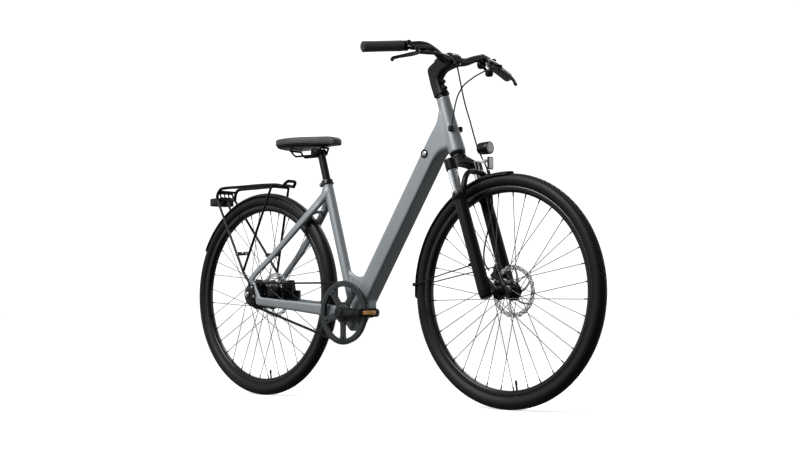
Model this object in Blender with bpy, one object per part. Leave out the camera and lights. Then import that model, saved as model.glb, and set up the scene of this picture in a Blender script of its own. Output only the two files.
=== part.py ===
"""Electric city bike: step-through frame, belt drive, hub motor, suspension fork and disc brakes.

Metres, +X forward, +Y to the rider's left, +Z up. The origin is on the ground, midway between the
points where the two tyres stand. Distances "along" and "ahead" are measured in the fork's own
directions: up the steering axis, and square to it towards the front.
"""

from math import acos, atan2, ceil, cos, hypot, pi, radians, sin, tan

import bmesh
import bpy
from mathutils import Matrix, Vector

CLEAR = 0.0003            # gap between two pieces that touch
TURNING = 0.0005          # gap round a shaft that turns

# Wheels
WHEELBASE = 1.078
TYRE_RADIUS = 0.351
TYRE_WIDTH = 0.0395
RIM_BED_RADIUS = 0.3125
RIM_INNER_RADIUS = 0.294
RIM_WIDTH = 0.025
RIM_SPOKE_FACE = 0.012
SPOKES = 36
SPOKE_RADIUS = 0.0010
SPOKE_LACING = radians(66)
SPOKE_HEAD_STEP = 0.0018
WHEEL_STEPS = 48
ROTOR_RADIUS = 0.080
ROTOR_THICKNESS = 0.0018
ROTOR_TRACK = 0.015
ROTOR_BORE = 0.022
ROTOR_ARMS = 6
ROTOR_TO_DROPOUT = 0.0153

# Front hub and rear hub motor
FRONT_SPACING = 0.100
FRONT_AXLE_RADIUS = 0.0045
FRONT_HUB_RADIUS = 0.0165
FRONT_FLANGE_RADIUS = 0.027
FRONT_FLANGE_RIGHT = 0.034
FRONT_FLANGE_LEFT = 0.022
REAR_SPACING = 0.135
REAR_AXLE_RADIUS = 0.006
MOTOR_RADIUS = 0.052
MOTOR_RIGHT = 0.030
MOTOR_LEFT = 0.036
FLANGE_THICKNESS = 0.004
NUT_RADIUS = 0.0095

# Frame
BRACKET_X = -0.0915
BRACKET_Z = 0.2875
BRACKET_RADIUS = 0.0215
BRACKET_HALF = 0.034
BEARING_RADIUS = 0.0175
SEAT_ANGLE = radians(73.3)
SEAT_TUBE_RADIUS = 0.017
SEAT_TUBE_TOP = 0.7310
SEATPOST_RADIUS = 0.0136
SEATPOST_DEPTH = 0.200
SEATPOST_TOP = 0.822
DOWN_ANGLE = radians(56.3)
DOWN_ABOVE = 0.019        # upper edge of the down tube, measured from the bracket's axis
DOWN_BELOW = 0.043
DOWN_WIDTH = 0.060
DOWN_CORNER = 0.016
WEB_TOP = 0.406
WEB_HALF_BACK = 0.005     # half thickness of the web at the seat tube's axis
WEB_SPREAD = 0.15         # how much it grows with the distance ahead of that axis

# Steering and fork
HEAD_ANGLE = radians(71.6)
FORK_RAKE = 0.042
HEAD_BOTTOM = 0.465
HEAD_TOP = 0.652
HEAD_RADIUS_BOTTOM = 0.0265
HEAD_RADIUS_TOP = 0.0212
STEERER_RADIUS = 0.0125
STEERER_ABOVE = 0.038     # how far the steerer runs up inside the stem
HEADSET_HEIGHT = 0.0065
LEG_SIDE = 0.062
LEG_AHEAD = 0.010
STANCHION_RADIUS = 0.0155
STANCHION_BOTTOM = 0.120
LOWER_RADIUS = 0.020
LOWER_TOP = 0.322
LOWER_BOTTOM = -0.011
CROWN_BOTTOM = 0.398
CROWN_TOP = 0.434
CROWN_RADIUS = 0.0185
SOCKET_DEPTH = 0.027
FORK_TRAVEL = 0.050
DROPOUT_THICKNESS = 0.009

# Drive
RING_TIP_RADIUS = 0.097
RING_WALL = 0.0065
RING_GUARD_RADIUS = 0.1045
RING_GUARD_THICKNESS = 0.0022
RING_TEETH = 58
SPROCKET_TIP_RADIUS = 0.0375
SPROCKET_TEETH = 22
TOOTH_DEPTH = 0.0035
BELT_THICKNESS = 0.0035
BELT_WIDTH = 0.012
BELT_LINE = 0.050
CRANK_LENGTH = 0.170
SPINDLE_RADIUS = 0.0085
SPINDLE_END = 0.074
CRANK_INNER = 0.062
CRANK_THICKNESS = 0.015
CRANK_OUTWARD = 0.012     # how far the pedal end stands outside the spindle end
PEDAL_AXLE_RADIUS = 0.006
PEDAL_INNER = 0.096
PEDAL_WIDTH = 0.092
PEDAL_LENGTH = 0.064
PEDAL_HEIGHT = 0.026

# Guards
GUARD_RADIUS = 0.358
GUARD_HALF = 0.021
GUARD_DROP = 0.0115
GUARD_WALL = 0.0020

TUBE_STEPS = 16
ROD_STEPS = 8
LEFT = Vector((0, 1, 0))
UP = Vector((0, 0, 1))
FRONT_AXLE = Vector((WHEELBASE / 2, 0, TYRE_RADIUS))
REAR_AXLE = Vector((-WHEELBASE / 2, 0, TYRE_RADIUS))
BRACKET = Vector((BRACKET_X, 0, BRACKET_Z))
STEER_UP = Vector((-cos(HEAD_ANGLE), 0, sin(HEAD_ANGLE)))
STEER_AHEAD = Vector((sin(HEAD_ANGLE), 0, cos(HEAD_ANGLE)))
SEAT_UP = Vector((-cos(SEAT_ANGLE), 0, sin(SEAT_ANGLE)))
DOWN_UP = Vector((cos(DOWN_ANGLE), 0, sin(DOWN_ANGLE)))
DOWN_OUT = Vector((sin(DOWN_ANGLE), 0, -cos(DOWN_ANGLE)))


def steered(along, ahead=0.0, side=0.0):
    """A point by its distance up the steering axis from level with the front axle, ahead and left of it."""
    foot = FRONT_AXLE - FORK_RAKE * STEER_AHEAD
    return foot + along * STEER_UP + ahead * STEER_AHEAD + side * LEFT


def on_seat_tube(height, back=0.0, side=0.0):
    """A point on the seat tube's axis at a height over the ground, or behind it."""
    along = (height - BRACKET_Z) / sin(SEAT_ANGLE)
    return BRACKET + along * SEAT_UP + Vector((-back, side, 0))


def on_down_tube(height, below, side=0.0):
    """A point at a height, on the line a distance below the bracket's axis, along the down tube."""
    along = (height - BRACKET_Z + below * cos(DOWN_ANGLE)) / sin(DOWN_ANGLE)
    return BRACKET + below * DOWN_OUT + along * DOWN_UP + side * LEFT


def finish(name, colour, roughness, metallic=0.0):
    made = bpy.data.materials.new(name)
    made.use_nodes = True
    shader = made.node_tree.nodes["Principled BSDF"]
    shader.inputs["Base Color"].default_value = (*colour, 1.0)
    shader.inputs["Roughness"].default_value = roughness
    shader.inputs["Metallic"].default_value = metallic
    return made


def solid(name, points, faces, look):
    """A closed mesh object with its faces pointing out."""
    work = bmesh.new()
    corners = [work.verts.new(p) for p in points]
    for face in faces:
        work.faces.new([corners[i] for i in face])
    bmesh.ops.recalc_face_normals(work, faces=work.faces)
    mesh = bpy.data.meshes.new(name)
    work.to_mesh(mesh)
    work.free()
    mesh.materials.append(look)
    made = bpy.data.objects.new(name, mesh)
    bpy.context.scene.collection.objects.link(made)
    return made


def loft(name, rings, look, closed=False):
    """A skin through rings with as many points each, with flat ends unless it closes on itself."""
    count = len(rings[0])
    points = [point for ring in rings for point in ring]
    faces = []
    for k in range(len(rings) if closed else len(rings) - 1):
        here = k * count
        there = (k + 1) % len(rings) * count
        for i in range(count):
            j = (i + 1) % count
            faces.append((here + i, here + j, there + j, there + i))
    if not closed:
        faces.append(tuple(range(count)))
        faces.append(tuple(range(len(points) - count, len(points))))
    return solid(name, points, faces, look)


def square_to(axis):
    """Two unit vectors square to an axis and to each other, the first pointing down where it can."""
    axis = axis.normalized()
    hint = -UP if abs(axis.z) < 0.9 else STEER_AHEAD
    first = (hint - hint.project(axis)).normalized()
    return first, axis.cross(first)


def circle(centre, axis, radius, steps):
    first, second = square_to(axis)
    return [
        centre + radius * (cos(2 * pi * k / steps) * first + sin(2 * pi * k / steps) * second)
        for k in range(steps)
    ]


def turned(name, origin, axis, profile, look, steps=TUBE_STEPS):
    """A turned solid. The profile gives (distance along the axis, radius) from one end to the other."""
    axis = axis.normalized()
    return loft(name, [circle(origin + d * axis, axis, r, steps) for d, r in profile], look)


def turned_ring(name, origin, axis, outline, look, steps):
    """A turned ring. The closed outline gives (distance along the axis, radius)."""
    axis = axis.normalized()
    first, second = square_to(axis)
    rings = []
    for k in range(steps):
        angle = 2 * pi * k / steps
        away = cos(angle) * first + sin(angle) * second
        rings.append([origin + d * axis + r * away for d, r in outline])
    return loft(name, rings, look, closed=True)


def rod(name, path, radius, look, steps=ROD_STEPS, closed=False):
    """A round bar along a path of points. The radius is one value, or one for each point."""
    path = [Vector(p) for p in path]
    count = len(path)
    radii = radius if isinstance(radius, (list, tuple)) else [radius] * count
    rings = []
    first = None
    for k, point in enumerate(path):
        before = path[k - 1] if k or closed else point
        after = path[(k + 1) % count] if k < count - 1 or closed else point
        along = (after - before).normalized()
        if first is None:
            first = square_to(along)[0]
        first = (first - first.project(along)).normalized()
        second = along.cross(first)
        rings.append([
            point + radii[k] * (cos(2 * pi * i / steps) * first + sin(2 * pi * i / steps) * second)
            for i in range(steps)
        ])
    return loft(name, rings, look, closed)


def boxed_ring(upper, lower, width, corner, steps=3):
    """A rounded rectangle whose height runs between two points of the middle plane."""
    centre = (upper + lower) / 2
    tall = (upper - lower).normalized()
    half_tall = (upper - lower).length / 2
    half_wide = width / 2
    corner = min(corner, half_tall * 0.98, half_wide * 0.98)
    points = []
    for turn, (sx, sy) in enumerate(((1, 1), (-1, 1), (-1, -1), (1, -1))):
        for k in range(steps + 1):
            angle = turn * pi / 2 + k / steps * pi / 2
            wide = sx * (half_wide - corner) + corner * cos(angle)
            high = sy * (half_tall - corner) + corner * sin(angle)
            points.append(centre + wide * LEFT + high * tall)
    return points


def flat_bar(name, stations, look, corner=0.004, steps=2):
    """A bar whose stations give (centre, height, thickness across Y), with its height square to its run."""
    centres = [Vector(station[0]) for station in stations]
    rings = []
    for k, (_, height, thick) in enumerate(stations):
        before = centres[max(k - 1, 0)]
        after = centres[min(k + 1, len(centres) - 1)]
        along = after - before
        tall = Vector((-along.z, 0, along.x)).normalized()
        upper = centres[k] + height / 2 * tall
        lower = centres[k] - height / 2 * tall
        rings.append(boxed_ring(upper, lower, thick, corner, steps))
    return loft(name, rings, look)


def plate(name, outline, low, high, look):
    """A flat plate: an outline of (x, z), from one y to another."""
    rings = [[Vector((x, y, z)) for x, z in outline] for y in (low, high)]
    return loft(name, rings, look)


def box(name, centre, size, look, tilt=0.0, bevel=0.0):
    """A block with its edges broken, turned about Y by the tilt."""
    work = bmesh.new()
    bmesh.ops.create_cube(work, size=1.0)
    bmesh.ops.scale(work, vec=size, verts=work.verts)
    if bevel:
        bmesh.ops.bevel(work, geom=work.edges, offset=bevel, segments=1, affect="EDGES")
    place = Matrix.Translation(centre) @ Matrix.Rotation(tilt, 4, "Y")
    bmesh.ops.transform(work, matrix=place, verts=work.verts)
    points = [v.co.copy() for v in work.verts]
    faces = [tuple(v.index for v in f.verts) for f in work.faces]
    work.free()
    return solid(name, points, faces, look)


def combine(target, tools, operation):
    """Joins the tools to the target, or cuts or keeps what they share with it, and removes them."""
    for tool in tools:
        step = target.modifiers.new(tool.name, "BOOLEAN")
        step.operation = operation
        step.object = tool
        step.solver = "EXACT"
    graph = bpy.context.evaluated_depsgraph_get()
    shaped = bpy.data.meshes.new_from_object(target.evaluated_get(graph))
    target.modifiers.clear()
    target.data = shaped
    for tool in tools:
        bpy.data.objects.remove(tool)
    return target


def join(target, *tools):
    return combine(target, tools, "UNION")


def cut(target, *tools):
    return combine(target, tools, "DIFFERENCE")


def arc(centre, radius, start, end, steps):
    """Points (x, z) on an arc, with its angles counted from +X towards +Z."""
    points = []
    for k in range(steps + 1):
        angle = start + (end - start) * k / steps
        points.append((centre[0] + radius * cos(angle), centre[1] + radius * sin(angle)))
    return points


def smooth_path(route, spacing):
    """Points at an even spacing on a smooth curve through the route's own points."""
    route = [Vector(p) for p in route]
    ends = [2 * route[0] - route[1], *route, 2 * route[-1] - route[-2]]
    fine = []
    for a, b, c, d in zip(ends, ends[1:], ends[2:], ends[3:]):
        for k in range(40):
            t = k / 40
            fine.append(
                0.5 * (2 * b + (c - a) * t + (2 * a - 5 * b + 4 * c - d) * t ** 2
                       + (3 * b - a - 3 * c + d) * t ** 3)
            )
    fine.append(route[-1])
    length = sum((q - p).length for p, q in zip(fine, fine[1:]))
    wanted = ceil(length / spacing)
    points = [fine[0]]
    run = 0.0
    for p, q in zip(fine, fine[1:]):
        run += (q - p).length
        if run >= length * len(points) / wanted and len(points) < wanted:
            points.append(q)
    points.append(fine[-1])
    return points


def hose(name, route, diameter, look):
    """A flexible hose along a route, as a bevelled curve with closed ends."""
    points = smooth_path(route, 3 * diameter)
    data = bpy.data.curves.new(name, "CURVE")
    data.dimensions = "3D"
    data.bevel_depth = diameter / 2
    data.bevel_resolution = 2
    data.use_fill_caps = True
    spline = data.splines.new("POLY")
    spline.points.add(len(points) - 1)
    for point, place in zip(spline.points, points):
        point.co = (*place, 1.0)
    data.materials.append(look)
    made = bpy.data.objects.new(name, data)
    bpy.context.scene.collection.objects.link(made)
    return made


for old in list(bpy.data.objects):
    bpy.data.objects.remove(old)

GREY_PAINT = finish("grey_paint", (0.23, 0.25, 0.27), 0.42, 0.15)
BLACK_METAL = finish("black_metal", (0.012, 0.012, 0.013), 0.38, 0.3)
BLACK_PLASTIC = finish("black_plastic", (0.018, 0.018, 0.019), 0.5)
RUBBER = finish("rubber", (0.020, 0.021, 0.022), 0.75)
STEEL = finish("bright_steel", (0.62, 0.63, 0.64), 0.28, 1.0)
CHROME = finish("chrome", (0.80, 0.81, 0.82), 0.08, 1.0)
COVER = finish("saddle_cover", (0.030, 0.031, 0.033), 0.65)
CLEAR_LENS = finish("clear_lens", (0.75, 0.77, 0.78), 0.1)
RED_LENS = finish("red_lens", (0.45, 0.01, 0.01), 0.2)
CASE = finish("battery_case", (0.03, 0.03, 0.032), 0.6)


# Frame: the down tube with the head tube and the bracket shell

HEAD_RADIUS_MEAN = (HEAD_RADIUS_BOTTOM + HEAD_RADIUS_TOP) / 2


def down_tube_body(name, grow=0.0):
    """The boxed down tube, deepening into a web where it meets the head tube."""
    above = -DOWN_ABOVE - grow
    below = DOWN_BELOW + grow
    wide = DOWN_WIDTH + 2 * grow
    stations = [
        (on_down_tube(0.2620, above + 0.012), on_down_tube(0.2360, below - 0.012), wide - 0.014),
        (on_down_tube(0.2690, above), on_down_tube(0.2410, below), wide),
        (on_down_tube(0.3500, above), on_down_tube(0.3150, below), wide),
        (on_down_tube(0.8000, above), on_down_tube(0.7350, below), wide),
        (on_down_tube(0.8430, above), on_down_tube(0.7640, below), wide - 0.002),
        (on_down_tube(0.8840, above), on_down_tube(0.7830, below - 0.005), wide - 0.008),
        (steered(0.6220, -0.012), steered(0.4900, -0.012), 0.038 + 2 * grow),
        (steered(0.6180, 0.000), steered(0.4940, 0.000), 0.032 + 2 * grow),
    ]
    rings = [boxed_ring(up, low, width, DOWN_CORNER + grow) for up, low, width in stations]
    return loft(name, rings, GREY_PAINT)


def bracket_shell(name, grow=0.0):
    half = BRACKET_HALF + grow
    return turned(name, BRACKET, LEFT, [(-half, BRACKET_RADIUS + grow), (half, BRACKET_RADIUS + grow)],
                  GREY_PAINT, 24)


BAY_BOTTOM = 0.345        # height where the battery bay starts, at the tube's lower edge
BAY_TOP = 0.690
BAY_WIDTH = 0.048
BAY_ROOF = 0.009          # wall left over the bay
COVER_THICKNESS = 0.006


def bay_block(name, inset, deep, out):
    """A block along the down tube, from a depth under its upper edge to outside its lower edge."""
    low = on_down_tube(BAY_BOTTOM, 0)
    high = on_down_tube(BAY_TOP, 0)
    along = (high - low).normalized()
    length = (high - low).length - 2 * inset
    middle = (low + high) / 2 + DOWN_OUT * (deep + out) / 2
    size = (length, BAY_WIDTH - 2 * inset, out - deep)
    made = box(name, Vector((0, 0, 0)), size, GREY_PAINT)
    across = along.cross(LEFT)
    made.data.transform(Matrix((along, LEFT, across)).transposed().to_4x4())
    made.data.transform(Matrix.Translation(middle))
    return made


LOCK_AT = (0.2412, 0.7836)
LOCK_RADIUS = 0.0105
LOCK_DEPTH = 0.014


def build_down_tube():
    tube = down_tube_body("down_tube")
    head = turned("head", steered(0), STEER_UP, [
        (HEAD_BOTTOM, HEAD_RADIUS_BOTTOM),
        (HEAD_BOTTOM + 0.020, HEAD_RADIUS_BOTTOM - 0.0005),
        (HEAD_TOP - 0.012, HEAD_RADIUS_TOP),
        (HEAD_TOP, HEAD_RADIUS_TOP),
    ], GREY_PAINT, 24)
    join(tube, head, bracket_shell("shell"))
    bore = turned("bore", steered(0), STEER_UP,
                  [(HEAD_BOTTOM - 0.01, STEERER_RADIUS + 0.002), (HEAD_TOP + 0.01, STEERER_RADIUS + 0.002)],
                  GREY_PAINT)
    cup_bore = turned("cup_bore", BRACKET, LEFT,
                      [(-0.05, BEARING_RADIUS), (0.05, BEARING_RADIUS)], GREY_PAINT)
    bay = bay_block("bay", 0, BAY_ROOF - DOWN_ABOVE, DOWN_BELOW + 0.02)
    lock_hole = turned("lock_hole", Vector((LOCK_AT[0], 0, LOCK_AT[1])), LEFT,
                       [(-0.05, LOCK_RADIUS), (-DOWN_WIDTH / 2 + LOCK_DEPTH, LOCK_RADIUS)], GREY_PAINT)
    cut(tube, bore, cup_bore, bay, lock_hole)

    lid = down_tube_body("battery_cover")
    combine(lid, [bay_block("keep", CLEAR, DOWN_BELOW - COVER_THICKNESS, DOWN_BELOW + 0.02)], "INTERSECT")
    pack = bay_block("battery_pack", 2 * CLEAR, BAY_ROOF - DOWN_ABOVE + CLEAR, DOWN_BELOW - COVER_THICKNESS - CLEAR)
    pack.data.materials[0] = CASE

    lock = turned("battery_lock", Vector((LOCK_AT[0], 0, LOCK_AT[1])), LEFT, [
        (-DOWN_WIDTH / 2 - 0.003, LOCK_RADIUS - 0.002),
        (-DOWN_WIDTH / 2 - 0.002, LOCK_RADIUS - TURNING),
        (-DOWN_WIDTH / 2 + LOCK_DEPTH - CLEAR, LOCK_RADIUS - TURNING),
    ], STEEL)
    key_slot = box("key_slot", Vector((LOCK_AT[0], -DOWN_WIDTH / 2, LOCK_AT[1])),
                   (0.0022, 0.012, 0.011), STEEL, tilt=radians(30))
    cut(lock, key_slot)


# Frame: seat tube with the web that fills the corner over the bracket

def web_outline():
    """The corner between the tubes, closed by an arc that touches both and has its lowest point at WEB_TOP."""
    front = SEAT_TUBE_RADIUS / sin(SEAT_ANGLE)
    down_back = DOWN_ABOVE / sin(DOWN_ANGLE)
    rise = (front + down_back) / (1 / tan(SEAT_ANGLE) + 1 / tan(DOWN_ANGLE))
    apex = Vector((BRACKET_X + front - rise / tan(SEAT_ANGLE), 0, BRACKET_Z + rise))
    opening = pi - SEAT_ANGLE - DOWN_ANGLE
    middle = DOWN_ANGLE + opening / 2
    reach = (WEB_TOP - apex.z) / sin(middle)
    radius = reach / (1 / sin(opening / 2) - 1)
    centre = (apex.x + (reach + radius) * cos(middle), apex.z + (reach + radius) * sin(middle))
    curve = arc(centre, radius, 3 * pi / 2 + (middle - pi / 2) + (pi / 2 - opening / 2),
                3 * pi / 2 + (middle - pi / 2) - (pi / 2 - opening / 2), 8)
    inside = on_down_tube(curve[0][1], 0)
    high = on_seat_tube(curve[-1][1] + 0.004, -0.003)
    low = on_seat_tube(BRACKET_Z, -0.003)
    into_tube = (curve[-1][0] - 0.002, curve[-1][1])
    return [(inside.x, inside.z), *curve[:-1], into_tube, (high.x, high.z), (low.x, low.z)]


def web_body():
    """The web, thin behind at the seat tube and as wide as the down tube's flank in front."""
    rings = []
    for side in (-1, 1):
        ring = []
        for x, z in web_outline():
            ahead = x - on_seat_tube(z).x
            ring.append(Vector((x, side * (WEB_HALF_BACK + WEB_SPREAD * ahead), z)))
        rings.append(ring)
    return loft("web", rings, GREY_PAINT)


def seat_tube_body(name, grow=0.0):
    height = (SEAT_TUBE_TOP - BRACKET_Z) / sin(SEAT_ANGLE)
    radius = SEAT_TUBE_RADIUS + grow
    return turned(name, BRACKET, SEAT_UP, [(0.0, radius), (height, radius)], GREY_PAINT, 20)


def build_seat_tube():
    tube = seat_tube_body("seat_tube")
    join(tube, web_body())
    top = (SEAT_TUBE_TOP - BRACKET_Z) / sin(SEAT_ANGLE)
    bore_radius = SEATPOST_RADIUS + TURNING
    bore = turned("bore", BRACKET, SEAT_UP,
                  [(top - SEATPOST_DEPTH - 0.15, bore_radius), (top + 0.01, bore_radius)], GREY_PAINT)
    cut(tube, bore, down_tube_body("room", CLEAR), bracket_shell("shell_room", CLEAR))


# Frame: the stays. The right one of each pair is described, and the left one is its mirror

STAY_END_Y = 0.0735
YOKE_THICKNESS = 0.010
DROPOUT_PLATE = 0.005

CHAIN_RUN = [
    ((BRACKET_X - 0.005, 0.024, 0.2875), 0.038, 0.014),
    ((-0.200, 0.036, 0.2965), 0.036, 0.013),
    ((-0.300, 0.050, 0.3075), 0.032, 0.014),
    ((-0.400, 0.063, 0.3180), 0.029, 0.012),
    ((-0.478, STAY_END_Y, 0.3265), 0.028, YOKE_THICKNESS),
    ((-0.496, STAY_END_Y, 0.3285), 0.026, YOKE_THICKNESS),
]


def mirrored(stations, side, grow=0.0):
    """The stations of a bar on the left or the right, thicker all round by a gap."""
    return [((x, side * y, z), height + 2 * grow, thick + 2 * grow) for (x, y, z), height, thick in stations]


def build_stays():
    for side, hand in ((-1, "right"), (1, "left")):
        stay = flat_bar("chain_stay_" + hand, mirrored(CHAIN_RUN, side), GREY_PAINT)
        yoke = flat_bar("yoke", mirrored([
            ((-0.482, STAY_END_Y, 0.3230), 0.027, YOKE_THICKNESS),
            ((-0.506, STAY_END_Y, 0.3650), 0.026, YOKE_THICKNESS),
            ((-0.528, STAY_END_Y, 0.4030), 0.024, YOKE_THICKNESS),
        ], side), GREY_PAINT)
        inner = REAR_SPACING / 2
        low, high = sorted((side * inner, side * (inner + DROPOUT_PLATE)))
        reach = arc((REAR_AXLE.x, REAR_AXLE.z), 0.017, radians(70), radians(290), 10)
        insert = plate("insert", [*reach, (-0.494, 0.330), (-0.512, 0.384)], low, high, GREY_PAINT)
        join(stay, yoke, insert)
        axle_hole = turned("axle_hole", REAR_AXLE, LEFT,
                           [(-0.10, REAR_AXLE_RADIUS + TURNING), (0.10, REAR_AXLE_RADIUS + TURNING)], GREY_PAINT)
        cut(stay, axle_hole, down_tube_body("room", CLEAR), bracket_shell("shell_room", CLEAR),
            seat_tube_body("seat_room", CLEAR))

        seat_run = mirrored([
            (on_seat_tube(0.712, 0.004, 0.0088), 0.022, 0.016),
            (on_seat_tube(0.690, 0.010, 0.0110), 0.028, 0.017),
            ((-0.2420, 0.0175, 0.6620), 0.029, 0.016),
            ((-0.2700, 0.0290, 0.6310), 0.027, 0.015),
            ((-0.3319, 0.0440, 0.5720), 0.025, 0.014),
            ((-0.4339, 0.0600, 0.4810), 0.022, 0.012),
            ((-0.5180, STAY_END_Y - 0.001, 0.4190), 0.020, YOKE_THICKNESS),
        ], side)
        upper = flat_bar("seat_stay_" + hand, seat_run, GREY_PAINT)
        if hand == "left":
            bridge = rod("bridge", [(-0.268, -0.0175, 0.628), (-0.268, 0.030, 0.628)], 0.007, GREY_PAINT, 10)
            join(upper, bridge)
        yoke_room = flat_bar("yoke_room", mirrored([
            ((-0.482, STAY_END_Y, 0.3230), 0.027, 0.03),
            ((-0.506, STAY_END_Y, 0.3650), 0.026, 0.03),
            ((-0.528, STAY_END_Y, 0.4030 + CLEAR), 0.024 + 2 * CLEAR, 0.03),
        ], side), GREY_PAINT)
        cut(upper, yoke_room, seat_tube_body("seat_room", CLEAR))


# Bearings, axles and the seat clamp

def build_bearings():
    low = HEAD_BOTTOM - CLEAR
    turned_ring("headset_lower", steered(0), STEER_UP, [
        (low, HEAD_RADIUS_BOTTOM - 0.0015),
        (low, STEERER_RADIUS + TURNING),
        (low - HEADSET_HEIGHT, STEERER_RADIUS + TURNING),
        (low - HEADSET_HEIGHT, HEAD_RADIUS_BOTTOM - 0.003),
    ], BLACK_METAL, 24)
    top = HEAD_TOP + CLEAR
    turned_ring("headset_upper", steered(0), STEER_UP, [
        (top, HEAD_RADIUS_TOP),
        (top + HEADSET_HEIGHT, HEAD_RADIUS_TOP - 0.0015),
        (top + HEADSET_HEIGHT, STEERER_RADIUS + TURNING),
        (top, STEERER_RADIUS + TURNING),
    ], BLACK_METAL, 24)
    lip = BRACKET_HALF + CLEAR
    outer = BEARING_RADIUS - CLEAR
    turned_ring("bottom_bracket", BRACKET, LEFT, [
        (-lip - 0.004, SPINDLE_RADIUS + TURNING),
        (-lip - 0.004, BRACKET_RADIUS - 0.001),
        (-lip, BRACKET_RADIUS - 0.001),
        (-lip, outer),
        (lip - 2 * CLEAR, outer),
        (lip - 2 * CLEAR, SPINDLE_RADIUS + TURNING),
    ], STEEL, TUBE_STEPS)

    clamp_at = on_seat_tube(SEAT_TUBE_TOP)
    clamp = turned_ring("seat_clamp", clamp_at, SEAT_UP, [
        (-0.0135, SEAT_TUBE_RADIUS + CLEAR),
        (-0.0135, SEAT_TUBE_RADIUS + 0.0035),
        (0.0025, SEAT_TUBE_RADIUS + 0.0035),
        (0.0025, SEATPOST_RADIUS + TURNING),
        (CLEAR, SEATPOST_RADIUS + TURNING),
        (CLEAR, SEAT_TUBE_RADIUS + CLEAR),
    ], BLACK_METAL, 20)
    lobe = box("lobe", clamp_at + Vector((-SEAT_TUBE_RADIUS - 0.0070, 0, -0.0075)), (0.012, 0.020, 0.013),
               BLACK_METAL, tilt=radians(90) - SEAT_ANGLE, bevel=0.003)
    join(clamp, lobe)
    cut(clamp, turned("tube_room", clamp_at, SEAT_UP,
                      [(-0.05, SEAT_TUBE_RADIUS + CLEAR), (CLEAR, SEAT_TUBE_RADIUS + CLEAR)], STEEL, 20))

    outside = REAR_SPACING / 2 + DROPOUT_PLATE + CLEAR
    nut_face = STAY_END_Y + YOKE_THICKNESS / 2
    turned("rear_axle", REAR_AXLE, LEFT, [
        (-nut_face - 0.006, REAR_AXLE_RADIUS),
        (-nut_face - 0.003, REAR_AXLE_RADIUS),
        (-nut_face - 0.003, NUT_RADIUS),
        (-outside, NUT_RADIUS),
        (-outside, REAR_AXLE_RADIUS),
        (outside, REAR_AXLE_RADIUS),
        (outside, NUT_RADIUS),
        (nut_face + 0.003, NUT_RADIUS),
        (nut_face + 0.003, REAR_AXLE_RADIUS),
        (nut_face + 0.006, REAR_AXLE_RADIUS),
    ], STEEL, TUBE_STEPS)


# Cable guides on the head tube, and the run of both brake hoses

GUIDE_AT = (0.3435, 0.0215, 0.8550)
HOSE_DIAMETER = 0.005


def build_guides():
    for side, hand in ((-1, "right"), (1, "left")):
        middle = Vector((GUIDE_AT[0], side * GUIDE_AT[1], GUIDE_AT[2]))
        guide = box("cable_guide_" + hand, middle, (0.018, 0.012, 0.018), BLACK_PLASTIC, bevel=0.003)
        room = turned("room", steered(0), STEER_UP, [
            (HEAD_BOTTOM, HEAD_RADIUS_BOTTOM + CLEAR),
            (HEAD_BOTTOM + 0.020, HEAD_RADIUS_BOTTOM - 0.0005 + CLEAR),
            (HEAD_TOP - 0.012, HEAD_RADIUS_TOP + CLEAR),
            (HEAD_TOP, HEAD_RADIUS_TOP + CLEAR),
        ], GREY_PAINT, 24)
        cut(guide, room)


# Wheels

def laced(name, hub, flanges, flange_radius, rim_face):
    """Joins the crossed spokes to a hub, 18 to each flange, every other one leaning the other way."""
    each = SPOKES // 2
    wires = []
    for flange_at, outward in flanges:
        for k in range(each):
            lean = 1 if k % 2 else -1
            at_rim = 2 * pi * (k + (0.25 if outward > 0 else -0.25)) / each
            at_hub = at_rim + lean * SPOKE_LACING
            head_y = flange_at + lean * SPOKE_HEAD_STEP
            rim_y = outward * 0.002
            inner = flange_radius - 0.003
            start = hub[0] + Vector((inner * cos(at_hub), head_y, inner * sin(at_hub)))
            end = hub[0] + Vector((rim_face * cos(at_rim), rim_y, rim_face * sin(at_rim)))
            wires.append(rod("spoke", [start, end], SPOKE_RADIUS, STEEL, 3))
    return join(hub[1], *wires)


def build_tyre_and_rim(prefix, axle):
    half = TYRE_WIDTH / 2
    bed = RIM_BED_RADIUS + CLEAR
    bead = RIM_WIDTH / 2 - 0.0002
    side = [(bead, bed), (half, bed + 0.0180), (0.64 * half, TYRE_RADIUS - 0.0038)]
    outline = side + [(0.0, TYRE_RADIUS)] + [(-d, r) for d, r in reversed(side)]
    turned_ring(prefix + "_tyre", axle, LEFT, outline, RUBBER, WHEEL_STEPS)
    wide = RIM_WIDTH / 2
    narrow = RIM_SPOKE_FACE / 2
    wall = [(narrow, RIM_INNER_RADIUS), (wide, RIM_BED_RADIUS)]
    outline = wall + [(-d, r) for d, r in reversed(wall)]
    turned_ring(prefix + "_rim", axle, LEFT, outline, BLACK_METAL, WHEEL_STEPS)


def build_rotor(name, axle, at):
    low = at
    high = at + ROTOR_THICKNESS
    disc = turned_ring(name, axle, LEFT, [
        (low, ROTOR_BORE), (low, ROTOR_RADIUS), (high, ROTOR_RADIUS), (high, ROTOR_BORE),
    ], STEEL, 30)
    windows = []
    inner = ROTOR_BORE + 0.010
    outer = ROTOR_RADIUS - ROTOR_TRACK
    step = 2 * pi / ROTOR_ARMS
    for k in range(ROTOR_ARMS):
        start = k * step
        outline = (arc((axle.x, axle.z), outer, start + 0.10, start + step - 0.04, 2)
                   + arc((axle.x, axle.z), inner, start + step + 0.21, start + 0.67, 1))
        windows.append(plate("window", outline, low - 0.002, high + 0.002, STEEL))
    return cut(disc, *windows)


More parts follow.
